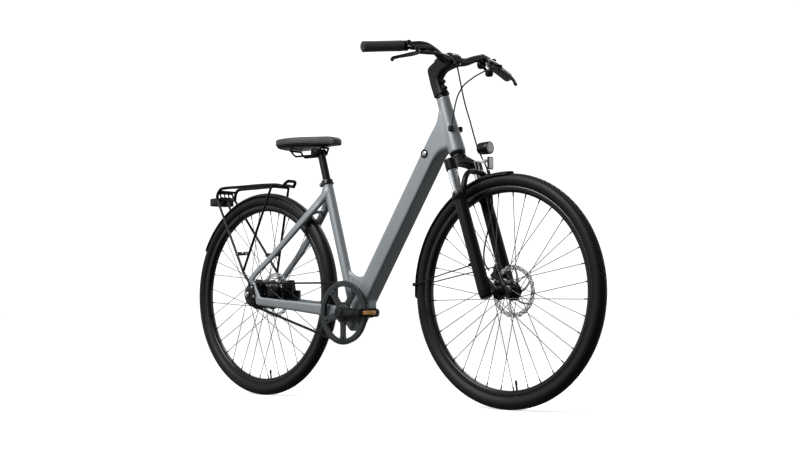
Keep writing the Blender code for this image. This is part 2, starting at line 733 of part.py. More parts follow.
def build_wheels():
    spoke_end = RIM_INNER_RADIUS * cos(pi / WHEEL_STEPS) - 2 * CLEAR
    build_tyre_and_rim("front", FRONT_AXLE)
    end = FRONT_SPACING / 2 - CLEAR
    carrier = FRONT_SPACING / 2 - ROTOR_TO_DROPOUT - CLEAR
    hub = turned("front_hub", FRONT_AXLE, LEFT, [
        (-end, 0.009),
        (-FRONT_FLANGE_RIGHT - 0.008, 0.012),
        (-FRONT_FLANGE_RIGHT - FLANGE_THICKNESS / 2, FRONT_HUB_RADIUS),
        (-FRONT_FLANGE_RIGHT - FLANGE_THICKNESS / 2, FRONT_FLANGE_RADIUS),
        (-FRONT_FLANGE_RIGHT + FLANGE_THICKNESS / 2, FRONT_FLANGE_RADIUS),
        (-FRONT_FLANGE_RIGHT + FLANGE_THICKNESS / 2, FRONT_HUB_RADIUS),
        (FRONT_FLANGE_LEFT - FLANGE_THICKNESS / 2, FRONT_HUB_RADIUS),
        (FRONT_FLANGE_LEFT - FLANGE_THICKNESS / 2, FRONT_FLANGE_RADIUS),
        (FRONT_FLANGE_LEFT + FLANGE_THICKNESS / 2, FRONT_FLANGE_RADIUS),
        (carrier - 0.004, FRONT_FLANGE_RADIUS),
        (carrier, FRONT_FLANGE_RADIUS),
        (carrier, ROTOR_BORE - 2 * CLEAR),
        (carrier + 0.003, ROTOR_BORE - 2 * CLEAR),
        (carrier + 0.003, 0.012),
        (end, 0.009),
    ], BLACK_METAL, 16)
    laced("front", (FRONT_AXLE, hub), ((-FRONT_FLANGE_RIGHT, -1), (FRONT_FLANGE_LEFT, 1)),
          FRONT_FLANGE_RADIUS, spoke_end)
    cut(hub, turned("bore", FRONT_AXLE, LEFT,
                    [(-0.08, FRONT_AXLE_RADIUS + TURNING), (0.08, FRONT_AXLE_RADIUS + TURNING)], STEEL))
    build_rotor("front_rotor", FRONT_AXLE, FRONT_SPACING / 2 - ROTOR_TO_DROPOUT)

    build_tyre_and_rim("rear", REAR_AXLE)
    sprocket_seat = BELT_LINE - BELT_WIDTH / 2 - 0.0015
    carrier = REAR_SPACING / 2 - ROTOR_TO_DROPOUT - CLEAR
    end = REAR_SPACING / 2 - CLEAR
    motor = turned("hub_motor", REAR_AXLE, LEFT, [
        (-sprocket_seat, 0.018),
        (-MOTOR_RIGHT - 0.006, 0.030),
        (-MOTOR_RIGHT - FLANGE_THICKNESS / 2, MOTOR_RADIUS - 0.004),
        (-MOTOR_RIGHT - FLANGE_THICKNESS / 2, MOTOR_RADIUS),
        (-MOTOR_RIGHT + FLANGE_THICKNESS / 2, MOTOR_RADIUS),
        (-MOTOR_RIGHT + FLANGE_THICKNESS / 2, MOTOR_RADIUS - 0.004),
        (MOTOR_LEFT - FLANGE_THICKNESS / 2, MOTOR_RADIUS - 0.004),
        (MOTOR_LEFT - FLANGE_THICKNESS / 2, MOTOR_RADIUS),
        (MOTOR_LEFT + FLANGE_THICKNESS / 2, MOTOR_RADIUS),
        (MOTOR_LEFT + FLANGE_THICKNESS / 2, MOTOR_RADIUS - 0.004),
        (MOTOR_LEFT + 0.008, 0.034),
        (carrier, 0.028),
        (carrier, ROTOR_BORE - 2 * CLEAR),
        (carrier + 0.003, ROTOR_BORE - 2 * CLEAR),
        (carrier + 0.003, 0.014),
        (end, 0.011),
    ], BLACK_METAL, 20)
    laced("rear", (REAR_AXLE, motor), ((-MOTOR_RIGHT, -1), (MOTOR_LEFT, 1)), MOTOR_RADIUS, spoke_end)
    cut(motor, turned("bore", REAR_AXLE, LEFT,
                      [(-0.09, REAR_AXLE_RADIUS + TURNING), (0.09, REAR_AXLE_RADIUS + TURNING)], STEEL))
    build_rotor("rear_rotor", REAR_AXLE, REAR_SPACING / 2 - ROTOR_TO_DROPOUT)


# Belt drive

def toothed(name, axle, teeth, tip, bore, low, high, look):
    """A toothed ring: the outline goes in and out once for each tooth."""
    outline = []
    for k in range(teeth):
        for part, radius in ((0.0, tip), (0.45, tip), (0.725, tip - TOOTH_DEPTH)):
            angle = 2 * pi * (k + part) / teeth
            outline.append((axle.x + radius * cos(angle), axle.z + radius * sin(angle)))
    ring = plate(name, outline, low, high, look)
    return cut(ring, turned("bore", axle, LEFT, [(-0.2, bore), (0.2, bore)], look, 48))


CHAINRING_ARMS = 5
CHAINRING_PLATE = 0.0045
ARM_TIP_TURN = 0.107      # half the angle that an arm takes at the ring, and at its root
ARM_ROOT_TURN = 0.300
ARM_ROOT_RADIUS = 0.034
CRANK_BOSS_RADIUS = 0.018


def build_chainring():
    out = -BELT_LINE - BELT_WIDTH / 2
    inner = -BELT_LINE + BELT_WIDTH / 2
    rim_inside = RING_TIP_RADIUS - RING_WALL
    guard_in = out - CLEAR
    guard_out = guard_in - RING_GUARD_THICKNESS
    ring = turned_ring("chainring", BRACKET, LEFT, [
        (guard_out, rim_inside), (guard_out, RING_GUARD_RADIUS), (guard_in, RING_GUARD_RADIUS),
        (guard_in, RING_TIP_RADIUS), (inner, RING_TIP_RADIUS), (inner, rim_inside),
    ], BLACK_METAL, 44)
    outline = []
    for k in range(CHAINRING_ARMS):
        arm = -pi / 2 + k * 2 * pi / CHAINRING_ARMS
        for turn, radius in (
            (-ARM_TIP_TURN, rim_inside + 0.003), (ARM_TIP_TURN, rim_inside + 0.003),
            (ARM_ROOT_TURN, ARM_ROOT_RADIUS), (pi / CHAINRING_ARMS, ARM_ROOT_RADIUS),
            (2 * pi / CHAINRING_ARMS - ARM_ROOT_TURN, ARM_ROOT_RADIUS),
        ):
            outline.append((BRACKET.x + radius * cos(arm + turn), BRACKET.z + radius * sin(arm + turn)))
    spider = plate("spider", outline, guard_out + 0.0005, guard_out + 0.0005 + CHAINRING_PLATE, BLACK_METAL)
    cut(spider, turned("bore", BRACKET, LEFT,
                       [(-0.1, CRANK_BOSS_RADIUS + CLEAR), (0, CRANK_BOSS_RADIUS + CLEAR)], STEEL))
    join(ring, spider)


def build_sprocket():
    seat = -BELT_LINE - BELT_WIDTH / 2
    toothed("rear_sprocket", REAR_AXLE, SPROCKET_TEETH, SPROCKET_TIP_RADIUS, REAR_AXLE_RADIUS + TURNING,
            seat, seat + BELT_WIDTH, BLACK_METAL)


def build_belt():
    """Two arcs joined by the straight runs that touch both, with the belt's teeth inside."""
    front = RING_TIP_RADIUS + CLEAR
    rear = SPROCKET_TIP_RADIUS + CLEAR
    gap = hypot(BRACKET.x - REAR_AXLE.x, BRACKET.z - REAR_AXLE.z)
    slope = atan2(BRACKET.z - REAR_AXLE.z, BRACKET.x - REAR_AXLE.x)
    lean = acos((front - rear) / gap)
    rings = []
    for centre, radius, start, end, steps in (
        (BRACKET, front, -pi + lean, pi - lean, 26),
        (REAR_AXLE, rear, pi - lean, pi + lean, 10),
    ):
        radius /= cos((end - start) / steps / 2)
        for k in range(steps + 1):
            angle = slope + start + (end - start) * k / steps
            away = Vector((cos(angle), 0, sin(angle)))
            rings.append([
                centre + reach * away + side * LEFT
                for reach, side in (
                    (radius, -BELT_LINE - BELT_WIDTH / 2),
                    (radius + BELT_THICKNESS, -BELT_LINE - BELT_WIDTH / 2),
                    (radius + BELT_THICKNESS, -BELT_LINE + BELT_WIDTH / 2),
                    (radius, -BELT_LINE + BELT_WIDTH / 2),
                )
            ])
    loft("drive_belt", rings, RUBBER, closed=True)


def build_cranks():
    face = CRANK_INNER
    for side, hand, forward in ((-1, "right", 1), (1, "left", -1)):
        pedal_x = BRACKET.x + forward * CRANK_LENGTH
        middle = face + CRANK_THICKNESS / 2
        arm = flat_bar("crank_" + hand, [
            ((BRACKET.x - forward * 0.018, side * middle, BRACKET.z), 0.024, CRANK_THICKNESS),
            ((BRACKET.x, side * middle, BRACKET.z), 0.036, CRANK_THICKNESS),
            ((BRACKET.x + forward * 0.040, side * (middle + 0.001), BRACKET.z), 0.030, CRANK_THICKNESS - 0.001),
            ((BRACKET.x + forward * 0.130, side * (middle + CRANK_OUTWARD - 0.001), BRACKET.z), 0.022, 0.012),
            ((pedal_x, side * (middle + CRANK_OUTWARD), BRACKET.z), 0.028, 0.012),
            ((pedal_x + forward * 0.012, side * (middle + CRANK_OUTWARD), BRACKET.z), 0.018, 0.012),
        ], BLACK_METAL)
        pedal_from = side * (middle + CRANK_OUTWARD)
        pedal_to = side * (PEDAL_INNER + PEDAL_WIDTH - 0.010)
        axle = rod("axle", [(pedal_x, pedal_from, BRACKET.z), (pedal_x, pedal_to, BRACKET.z)],
                   PEDAL_AXLE_RADIUS, STEEL, 12)
        if hand == "right":
            boss_inner = -BELT_LINE + BELT_WIDTH / 2
            boss = turned("boss", BRACKET, LEFT,
                          [(-face - 0.002, CRANK_BOSS_RADIUS), (boss_inner, CRANK_BOSS_RADIUS)], BLACK_METAL)
            spindle = turned("spindle", BRACKET, LEFT,
                             [(-face - 0.002, SPINDLE_RADIUS), (SPINDLE_END, SPINDLE_RADIUS)], STEEL)
            join(arm, boss, spindle, axle)
        else:
            boss = turned("boss", BRACKET, LEFT,
                          [(BRACKET_HALF + 0.006, 0.015), (face + 0.002, CRANK_BOSS_RADIUS)], BLACK_METAL)
            join(arm, boss, axle)
            cut(arm, turned("bore", BRACKET, LEFT,
                            [(0.02, SPINDLE_RADIUS + CLEAR), (SPINDLE_END + CLEAR, SPINDLE_RADIUS + CLEAR)], STEEL))
        tread_y = side * (PEDAL_INNER + PEDAL_WIDTH / 2)
        tread = box("pedal_" + hand, Vector((pedal_x, tread_y, BRACKET.z)),
                    (PEDAL_LENGTH, PEDAL_WIDTH, PEDAL_HEIGHT), BLACK_PLASTIC, bevel=0.006)
        bore_end = side * (PEDAL_INNER + PEDAL_WIDTH - 0.008)
        bore = rod("bore", [(pedal_x, side * 0.07, BRACKET.z), (pedal_x, bore_end, BRACKET.z)],
                   PEDAL_AXLE_RADIUS + TURNING, STEEL, 12)
        cut(tread, bore)


# Suspension fork

ARCH_TOP = 0.383
ARCH_AHEAD = 0.046
ARCH_RADIUS = 0.0098


def build_fork():
    socket_top = CROWN_TOP
    crown = turned("fork_crown", steered(0), STEER_UP, [
        (CROWN_BOTTOM + 0.0235, 0.017),
        (CROWN_TOP + 0.002, 0.021),
        (HEAD_BOTTOM - HEADSET_HEIGHT - 3 * CLEAR, HEAD_RADIUS_BOTTOM - 0.003),
        (HEAD_BOTTOM - HEADSET_HEIGHT - 3 * CLEAR, STEERER_RADIUS),
        (HEAD_TOP + STEERER_ABOVE, STEERER_RADIUS),
    ], BLACK_METAL, 16)
    rings = []
    for side, along, ahead, deep, tall in (
        (-LEG_SIDE, 0.4170, LEG_AHEAD, 0.034, 0.030),
        (-0.040, 0.4280, 0.006, 0.034, 0.026),
        (0.0, 0.4370, 0.002, 0.040, 0.028),
        (0.040, 0.4280, 0.006, 0.034, 0.026),
        (LEG_SIDE, 0.4170, LEG_AHEAD, 0.034, 0.030),
    ):
        centre = steered(along, ahead, side)
        rings.append([
            centre + deep / 2 * cos(k * pi / 6) * STEER_AHEAD + tall / 2 * sin(k * pi / 6) * STEER_UP
            for k in range(12)
        ])
    arms = loft("arms", rings, BLACK_METAL)
    sockets = [
        turned("socket", steered(0, LEG_AHEAD, side), STEER_UP, [
            (CROWN_BOTTOM, CROWN_RADIUS - 0.001), (CROWN_BOTTOM + 0.002, CROWN_RADIUS),
            (socket_top - 0.006, CROWN_RADIUS), (socket_top, CROWN_RADIUS - 0.006),
        ], BLACK_METAL, 16)
        for side in (-LEG_SIDE, LEG_SIDE)
    ]
    join(crown, arms, *sockets)
    bores = [
        turned("bore", steered(0, LEG_AHEAD, side), STEER_UP, [
            (CROWN_BOTTOM - 0.01, STANCHION_RADIUS + CLEAR),
            (CROWN_BOTTOM + SOCKET_DEPTH, STANCHION_RADIUS + CLEAR),
        ], BLACK_METAL, 16)
        for side in (-LEG_SIDE, LEG_SIDE)
    ]
    cut(crown, *bores)
    for side, hand in ((-LEG_SIDE, "right"), (LEG_SIDE, "left")):
        turned("stanchion_" + hand, steered(0, LEG_AHEAD, side), STEER_UP, [
            (STANCHION_BOTTOM, STANCHION_RADIUS), (CROWN_BOTTOM + SOCKET_DEPTH - CLEAR, STANCHION_RADIUS),
        ], CHROME, 16)

    legs = []
    for side in (-LEG_SIDE, LEG_SIDE):
        leg = turned("leg", steered(0, LEG_AHEAD, side), STEER_UP, [
            (LOWER_BOTTOM, LOWER_RADIUS - 0.004),
            (LOWER_BOTTOM + 0.004, LOWER_RADIUS),
            (LOWER_TOP - 0.022, LOWER_RADIUS - 0.0008),
            (LOWER_TOP - 0.014, LOWER_RADIUS + 0.0022),
            (LOWER_TOP - 0.003, LOWER_RADIUS + 0.0022),
            (LOWER_TOP, LOWER_RADIUS - 0.001),
        ], BLACK_METAL, 16)
        hand = 1 if side > 0 else -1
        inner = FRONT_SPACING / 2 + CLEAR
        low, high = sorted((hand * inner, hand * (inner + DROPOUT_THICKNESS)))
        top = steered(0.050, LEG_AHEAD - 0.004)
        bottom = steered(LOWER_BOTTOM + 0.004, LEG_AHEAD - 0.004)
        tip = arc((FRONT_AXLE.x, FRONT_AXLE.z), 0.0145, radians(-100), radians(75), 8)
        outline = [(bottom.x, bottom.z), *tip, (top.x, top.z)]
        join(leg, plate("dropout", outline, low, high, BLACK_METAL))
        eyelet_from = steered(0.103, LEG_AHEAD - LOWER_RADIUS + 0.004, side)
        eyelet_to = steered(0.103, LEG_AHEAD - LOWER_RADIUS - 0.006, side)
        join(leg, rod("eyelet", [eyelet_from, eyelet_to], 0.005, BLACK_METAL))
        legs.append(leg)
    lowers = legs[0]
    lowers.name = "fork_lowers"
    half = [(0.306, 0.022, 0.062), (0.333, 0.037, 0.064), (0.358, 0.044, 0.056), (0.378, 0.046, 0.036),
            (ARCH_TOP, ARCH_AHEAD, 0.014)]
    arch = rod("arch", [steered(a, h, -s) for a, h, s in half] + [steered(a, h, s) for a, h, s in half[::-1]],
               ARCH_RADIUS, BLACK_METAL, 10)
    join(lowers, legs[1], arch)
    bores = [
        turned("bore", steered(0, LEG_AHEAD, side), STEER_UP, [
            (STANCHION_BOTTOM - FORK_TRAVEL - 0.01, STANCHION_RADIUS + TURNING),
            (LOWER_TOP + 0.04, STANCHION_RADIUS + TURNING),
        ], BLACK_METAL, 16)
        for side in (-LEG_SIDE, LEG_SIDE)
    ]
    axle_hole = turned("axle_hole", FRONT_AXLE, LEFT,
                       [(-0.08, FRONT_AXLE_RADIUS + CLEAR), (0.08, FRONT_AXLE_RADIUS + CLEAR)], BLACK_METAL)
    cut(lowers, *bores, axle_hole)
    outside = FRONT_SPACING / 2 + DROPOUT_THICKNESS + 2 * CLEAR
    turned("front_axle", FRONT_AXLE, LEFT, [
        (-outside - 0.010, 0.007), (-outside - 0.008, 0.010), (-outside, 0.010), (-outside, FRONT_AXLE_RADIUS),
        (outside, FRONT_AXLE_RADIUS), (outside, 0.010), (outside + 0.008, 0.010), (outside + 0.010, 0.007),
    ], BLACK_METAL, TUBE_STEPS)


# Brake calipers, cut to straddle their rotors

def build_caliper(name, axle, at, size, tilt, rotor_low, foot):
    block = box(name, at, size, BLACK_METAL, tilt, bevel=0.004)
    if foot:
        join(block, foot)
    slot = 0.0012
    cut(block, turned("slot", axle, LEFT, [
        (rotor_low - slot, ROTOR_RADIUS + 0.003), (rotor_low + ROTOR_THICKNESS + slot, ROTOR_RADIUS + 0.003),
    ], STEEL, 32))
    return block


def build_calipers():
    rotor = FRONT_SPACING / 2 - ROTOR_TO_DROPOUT
    at = FRONT_AXLE + Vector((-0.060, rotor + 0.003, 0.040))
    foot = box("foot", steered(0.075, LEG_AHEAD - 0.026, 0.053), (0.030, 0.012, 0.045), BLACK_METAL,
               tilt=radians(90) - HEAD_ANGLE, bevel=0.003)
    front = build_caliper("front_caliper", FRONT_AXLE, at, (0.032, 0.026, 0.048), radians(-34), rotor, foot)
    cut(front, *[
        turned("leg_room", steered(0, LEG_AHEAD, LEG_SIDE), STEER_UP,
               [(-0.05, LOWER_RADIUS + CLEAR), (0.3, LOWER_RADIUS + CLEAR)], STEEL, 20)
    ])
    rotor = REAR_SPACING / 2 - ROTOR_TO_DROPOUT
    at = REAR_AXLE + Vector((0.0715, rotor + 0.0010, 0.0150))
    foot = box("foot", REAR_AXLE + Vector((0.0870, 0.0645, -0.0020)), (0.050, 0.013, 0.034), BLACK_METAL,
               bevel=0.002)
    rear = build_caliper("rear_caliper", REAR_AXLE, at, (0.046, 0.026, 0.066), radians(-12), rotor, foot)
    cut(rear, flat_bar("stay_room", mirrored(CHAIN_RUN, 1, CLEAR), STEEL))


# Mudguards and rack

def guard_arc(name, axle, start, end, steps):
    """A thin arched strip round a wheel between two angles, counted from +X towards +Z."""
    section = [(0.36, 0.04), (0.80, 0.36), (1.0, 1.0)]
    outer = [(GUARD_HALF * w, GUARD_RADIUS - GUARD_DROP * d) for w, d in section]
    inner = [((GUARD_HALF - GUARD_WALL) * w, GUARD_RADIUS - GUARD_WALL - (GUARD_DROP - GUARD_WALL) * d)
             for w, d in section]
    half_ring = outer[::-1] + [(-w, r) for w, r in outer]
    back = [(-w, r) for w, r in inner[::-1]] + inner
    rings = []
    for k in range(steps + 1):
        angle = start + (end - start) * k / steps
        away = Vector((cos(angle), 0, sin(angle)))
        rings.append([axle + w * LEFT + r * away for w, r in half_ring + back])
    return loft(name, rings, BLACK_PLASTIC)


TONGUE_FOOT = (-0.7310, 0, 0.6655)
TONGUE_RADIUS = 0.0040


def build_guards():
    guard = guard_arc("front_mudguard", FRONT_AXLE, radians(86), radians(183), 14)
    stays = []
    for side in (-1, 1):
        eyelet = steered(0.103, LEG_AHEAD - LOWER_RADIUS - 0.006 - CLEAR, side * LEG_SIDE)
        end_angle = radians(176)
        end_radius = GUARD_RADIUS - 0.8 * GUARD_DROP
        end = FRONT_AXLE + Vector((end_radius * cos(end_angle), side * (GUARD_HALF - 0.0015),
                                   end_radius * sin(end_angle)))
        stays.append(rod("stay", [eyelet, eyelet + Vector((-0.012, 0, -0.002)), end], 0.0021, BLACK_METAL, 6))
    tab_low = GUARD_RADIUS - 0.003
    tab_high = ARCH_TOP - ARCH_RADIUS - CLEAR
    middle = (tab_low + tab_high) / 2
    tab = box("tab", steered(middle, FORK_RAKE), (0.016, 0.014, tab_high - tab_low), BLACK_PLASTIC,
              tilt=HEAD_ANGLE - radians(90))
    join(guard, *stays, tab)

    guard = guard_arc("rear_mudguard", REAR_AXLE, radians(-22), radians(153.4), 25)
    bridge_angle = atan2(0.628 - REAR_AXLE.z, -0.268 - REAR_AXLE.x)
    reach = hypot(0.628 - REAR_AXLE.z, -0.268 - REAR_AXLE.x) - 0.007 - CLEAR
    low = GUARD_RADIUS - 0.003
    away = Vector((cos(bridge_angle), 0, sin(bridge_angle)))
    tab = box("tab", REAR_AXLE + (low + reach) / 2 * away, (0.012, 0.016, reach - low), BLACK_PLASTIC,
              tilt=pi / 2 - bridge_angle)
    tongue = Vector(TONGUE_FOOT) - REAR_AXLE
    reach = tongue.length - TONGUE_RADIUS - CLEAR
    away = tongue.normalized()
    rear_tab = box("rear_tab", REAR_AXLE + (low + reach) / 2 * away, (0.012, 0.014, reach - low), BLACK_PLASTIC,
                   tilt=pi / 2 - atan2(away.z, away.x))
    join(guard, tab, rear_tab)


RACK_ROD = 0.0048
STRUT_RADIUS = 0.0042
RACK_TOP = 0.733
LAMP_PLATE = 0.004


def build_rack():
    def both(points):
        return points + [(x, -y, z) for x, y, z in reversed(points)]

    def pair(x, y, z):
        return [(x, -y, z), (x, y, z)]

    rail_foot = (-0.7527, -0.0420, 0.6985)
    corner = (-0.4150, -0.0240, 0.7262)
    rail = both([
        rail_foot, (-0.7500, -0.0418, 0.7150), (-0.7417, -0.0405, 0.7275), (-0.7210, -0.0390, RACK_TOP + 0.003),
        (-0.5200, -0.0308, RACK_TOP + 0.002), (-0.4520, -0.0275, RACK_TOP - 0.001),
        (-0.4250, -0.0260, RACK_TOP - 0.006), corner,
    ])
    rack = rod("rear_rack", rail, RACK_ROD, BLACK_METAL, 8)
    strut_top = (-0.4610, 0.0405, RACK_TOP - 0.0070)
    plate_at = Vector((-0.7490, 0, 0.7120))
    plate_lean = radians(18)
    rods = [
        rod("loop", both([(-0.4180, -0.0240, 0.7262), (-0.4040, -0.0205, 0.7400), (-0.4015, -0.0160, 0.7427)]),
            RACK_ROD, BLACK_METAL),
        rod("upper_bar", pair(-0.7430, 0.0405, 0.7262), RACK_ROD, BLACK_METAL),
        rod("lower_bar", pair(-0.7527, 0.0420, 0.6990), RACK_ROD, BLACK_METAL),
        rod("middle_bar", pair(*strut_top), RACK_ROD, BLACK_METAL),
        box("lamp_plate", plate_at, (LAMP_PLATE, 0.030, 0.032), BLACK_METAL, tilt=plate_lean),
        rod("tongue", [(-0.7500, 0, 0.6990), TONGUE_FOOT], TONGUE_RADIUS, BLACK_METAL),
    ]
    foot_y = STAY_END_Y + YOKE_THICKNESS / 2 + CLEAR + STRUT_RADIUS
    for side in (-1, 1):
        vee = Vector((-0.5617, side * 0.0800, 0.4311))
        foot = Vector((-0.5310, side * foot_y, 0.3880))
        eye_from, eye_to = sorted((side * (foot_y - STRUT_RADIUS), side * (foot_y + STRUT_RADIUS)))
        rods.append(turned("foot_eye", foot, LEFT, [(eye_from - foot.y, 0.0075), (eye_to - foot.y, 0.0075)],
                           BLACK_METAL, 12))
        rods.append(rod("rear_strut", [(rail_foot[0], -side * rail_foot[1], rail_foot[2]), vee, foot],
                        STRUT_RADIUS, BLACK_METAL))
        rods.append(rod("front_strut", [(strut_top[0], side * strut_top[1], strut_top[2]), vee],
                        STRUT_RADIUS, BLACK_METAL))
        low, high = sorted((side * 0.066, side * 0.073))
        rods.append(plate("brace", [(-0.6120, 0.4880), (-0.5430, 0.4880), (-0.5410, 0.5010), (-0.6150, 0.5010)],
                          low, high, BLACK_METAL))
    join(rack, *rods)

    half = 0.037
    rear_top = -0.8080
    rear_low = -0.7955
    front = -0.7590
    lamp = loft("tail_light", [
        [Vector((x, y, z)) for x, z in (
            (front, 0.6735), (rear_low - inset, 0.6735 + inset), (rear_top + inset, 0.7043 - inset), (front, 0.7043),
        )]
        for y, inset in ((-half, 0.004), (-half + 0.005, 0.0), (half - 0.005, 0.0), (half, 0.004))
    ], RED_LENS)
    ear = box("ear", Vector((-0.7615, 0, 0.7108)), (0.010, 0.020, 0.0155), RED_LENS)
    pad_depth = 0.007
    off_plate = LAMP_PLATE / 2 + CLEAR + pad_depth / 2
    pad = box("pad", plate_at + off_plate * Vector((-cos(plate_lean), 0, sin(plate_lean))),
              (pad_depth, 0.020, 0.012), RED_LENS, tilt=plate_lean)
    join(lamp, ear, pad)
    return lamp


# Cockpit: stem, bar, grips, display and controls

BAR_RADIUS = 0.011
BAR_CENTRE_RADIUS = 0.0155
GRIP_RADIUS = 0.0163
BAR_CENTRE = (0.3333, 1.0714)
BAR_HALF_RUN = [
    (0.3333, 0.000, 1.0709), (0.3350, 0.030, 1.0697), (0.3385, 0.060, 1.0735), (0.3425, 0.095, 1.0860),
    (0.3438, 0.130, 1.0955), (0.3405, 0.160, 1.0960), (0.3335, 0.183, 1.0925), (0.3245, 0.199, 1.0889),
    (0.3200, 0.214, 1.0870),
]
GRIP_END = (0.2800, 0.3480, 1.0700)
BAR_STEPS = 12


def room_for(radius, steps):
    """The radius of a faceted hole that stays clear of a round piece all the way round."""
    return (radius + CLEAR) / cos(pi / steps)


def bar_grip(along):
    """A point on the straight grip part of the left half, from 0 at its inner end to 1."""
    return Vector(BAR_HALF_RUN[-1]).lerp(Vector(GRIP_END), along)


def build_bar():
    half = [Vector(p) for p in BAR_HALF_RUN] + [bar_grip(0.5), bar_grip(0.96)]
    radii = [BAR_CENTRE_RADIUS, BAR_CENTRE_RADIUS] + [BAR_RADIUS] * (len(half) - 2)
    run = [Vector((p.x, -p.y, p.z)) for p in reversed(half[1:])] + half
    rod("handlebar", run, radii[:0:-1] + radii, BLACK_METAL, BAR_STEPS)
    for side, hand in ((-1, "right"), (1, "left")):
        places = [bar_grip(t) for t in (0.0, 0.96, 1.0, -0.03, 0.975)]
        inner, shoulder, outer, before, hole = [Vector((p.x, side * p.y, p.z)) for p in places]
        grip = rod("grip_" + hand, [inner, shoulder, outer], [GRIP_RADIUS, GRIP_RADIUS, GRIP_RADIUS - 0.004],
                   RUBBER, 14)
        cut(grip, rod("bore", [before, hole], room_for(BAR_RADIUS, BAR_STEPS), RUBBER, BAR_STEPS))


STEM_LOW = HEAD_TOP + HEADSET_HEIGHT + 3 * CLEAR
CLAMP_HALF_LONG = 0.0195
CLAMP_HALF_TALL = 0.0260
CLAMP_HALF_WIDE = 0.0215
SCREEN_SIZE = Vector((0.034, 0.026, 0.006))
SCREEN_SLOPE = radians(-31)


def build_stem():
    stations = [
        (steered(STEM_LOW, -0.0225), steered(STEM_LOW, 0.0185), 0.041),
        (Vector((0.2544, 0, 0.9933)), Vector((0.2959, 0, 0.9916)), 0.036),
        (Vector((0.2462, 0, 1.0190)), Vector((0.2874, 0, 1.0147)), 0.034),
        (Vector((0.2400, 0, 1.0535)), Vector((0.2878, 0, 1.0200)), 0.034),
        (Vector((0.2663, 0, 1.0729)), Vector((0.3030, 0, 1.0374)), 0.035),
        (Vector((0.2977, 0, 1.0919)), Vector((0.3234, 0, 1.0450)), 0.039),
        (Vector((0.3270, 0, 1.0930)), Vector((0.3345, 0, 1.0480)), 0.041),
    ]
    stem = loft("stem", [boxed_ring(up, low, width, 0.019, 3) for up, low, width in stations], BLACK_METAL)
    rings = []
    for side, shrink in ((-CLAMP_HALF_WIDE, 0.0025), (-CLAMP_HALF_WIDE + 0.0025, 0.0),
                         (CLAMP_HALF_WIDE - 0.0025, 0.0), (CLAMP_HALF_WIDE, 0.0025)):
        rings.append([
            Vector((BAR_CENTRE[0] + (CLAMP_HALF_LONG - shrink) * cos(k * pi / 8), side,
                    BAR_CENTRE[1] + (CLAMP_HALF_TALL - shrink) * sin(k * pi / 8)))
            for k in range(16)
        ])
    bosses = [
        turned("boss", steered(along, 0.008), STEER_AHEAD, [(0.0, 0.0062), (0.0160, 0.0062)], BLACK_METAL, 10)
        for along in (0.679, 0.701)
    ]
    join(stem, loft("clamp", rings, BLACK_METAL), *bosses)
    centre = Vector(BAR_HALF_RUN[0])
    beside = Vector(BAR_HALF_RUN[1])
    bar_room = [Vector((beside.x, -beside.y, beside.z)), centre, beside]
    screen_at = Vector((0.2835, 0, 1.0832))
    cut(stem,
        turned("steerer_room", steered(0), STEER_UP, [
            (HEAD_TOP, STEERER_RADIUS + CLEAR), (HEAD_TOP + STEERER_ABOVE + CLEAR, STEERER_RADIUS + CLEAR),
        ], BLACK_METAL, 16),
        rod("bar_room", bar_room, room_for(BAR_CENTRE_RADIUS, BAR_STEPS), BLACK_METAL, BAR_STEPS),
        box("screen_room", screen_at, SCREEN_SIZE + Vector((2 * CLEAR,) * 3), BLACK_METAL, tilt=SCREEN_SLOPE))
    box("display", screen_at, SCREEN_SIZE, BLACK_PLASTIC, tilt=SCREEN_SLOPE, bevel=0.001)


LEVER_PIVOT = (0.3650, 0.2000, 1.0620)
LEVER_TIP = (0.3520, 0.2905, 1.0363)
EAR_BOTTOM = 0.0030       # height of the lever's ear over the middle of the pivot
HOUSING_FROM = (0.3660, 0.1850, 1.0655)
HOUSING_TO = {"right": (0.3660, 0.1163, 1.0728), "left": (0.3660, 0.1500, 1.0605)}


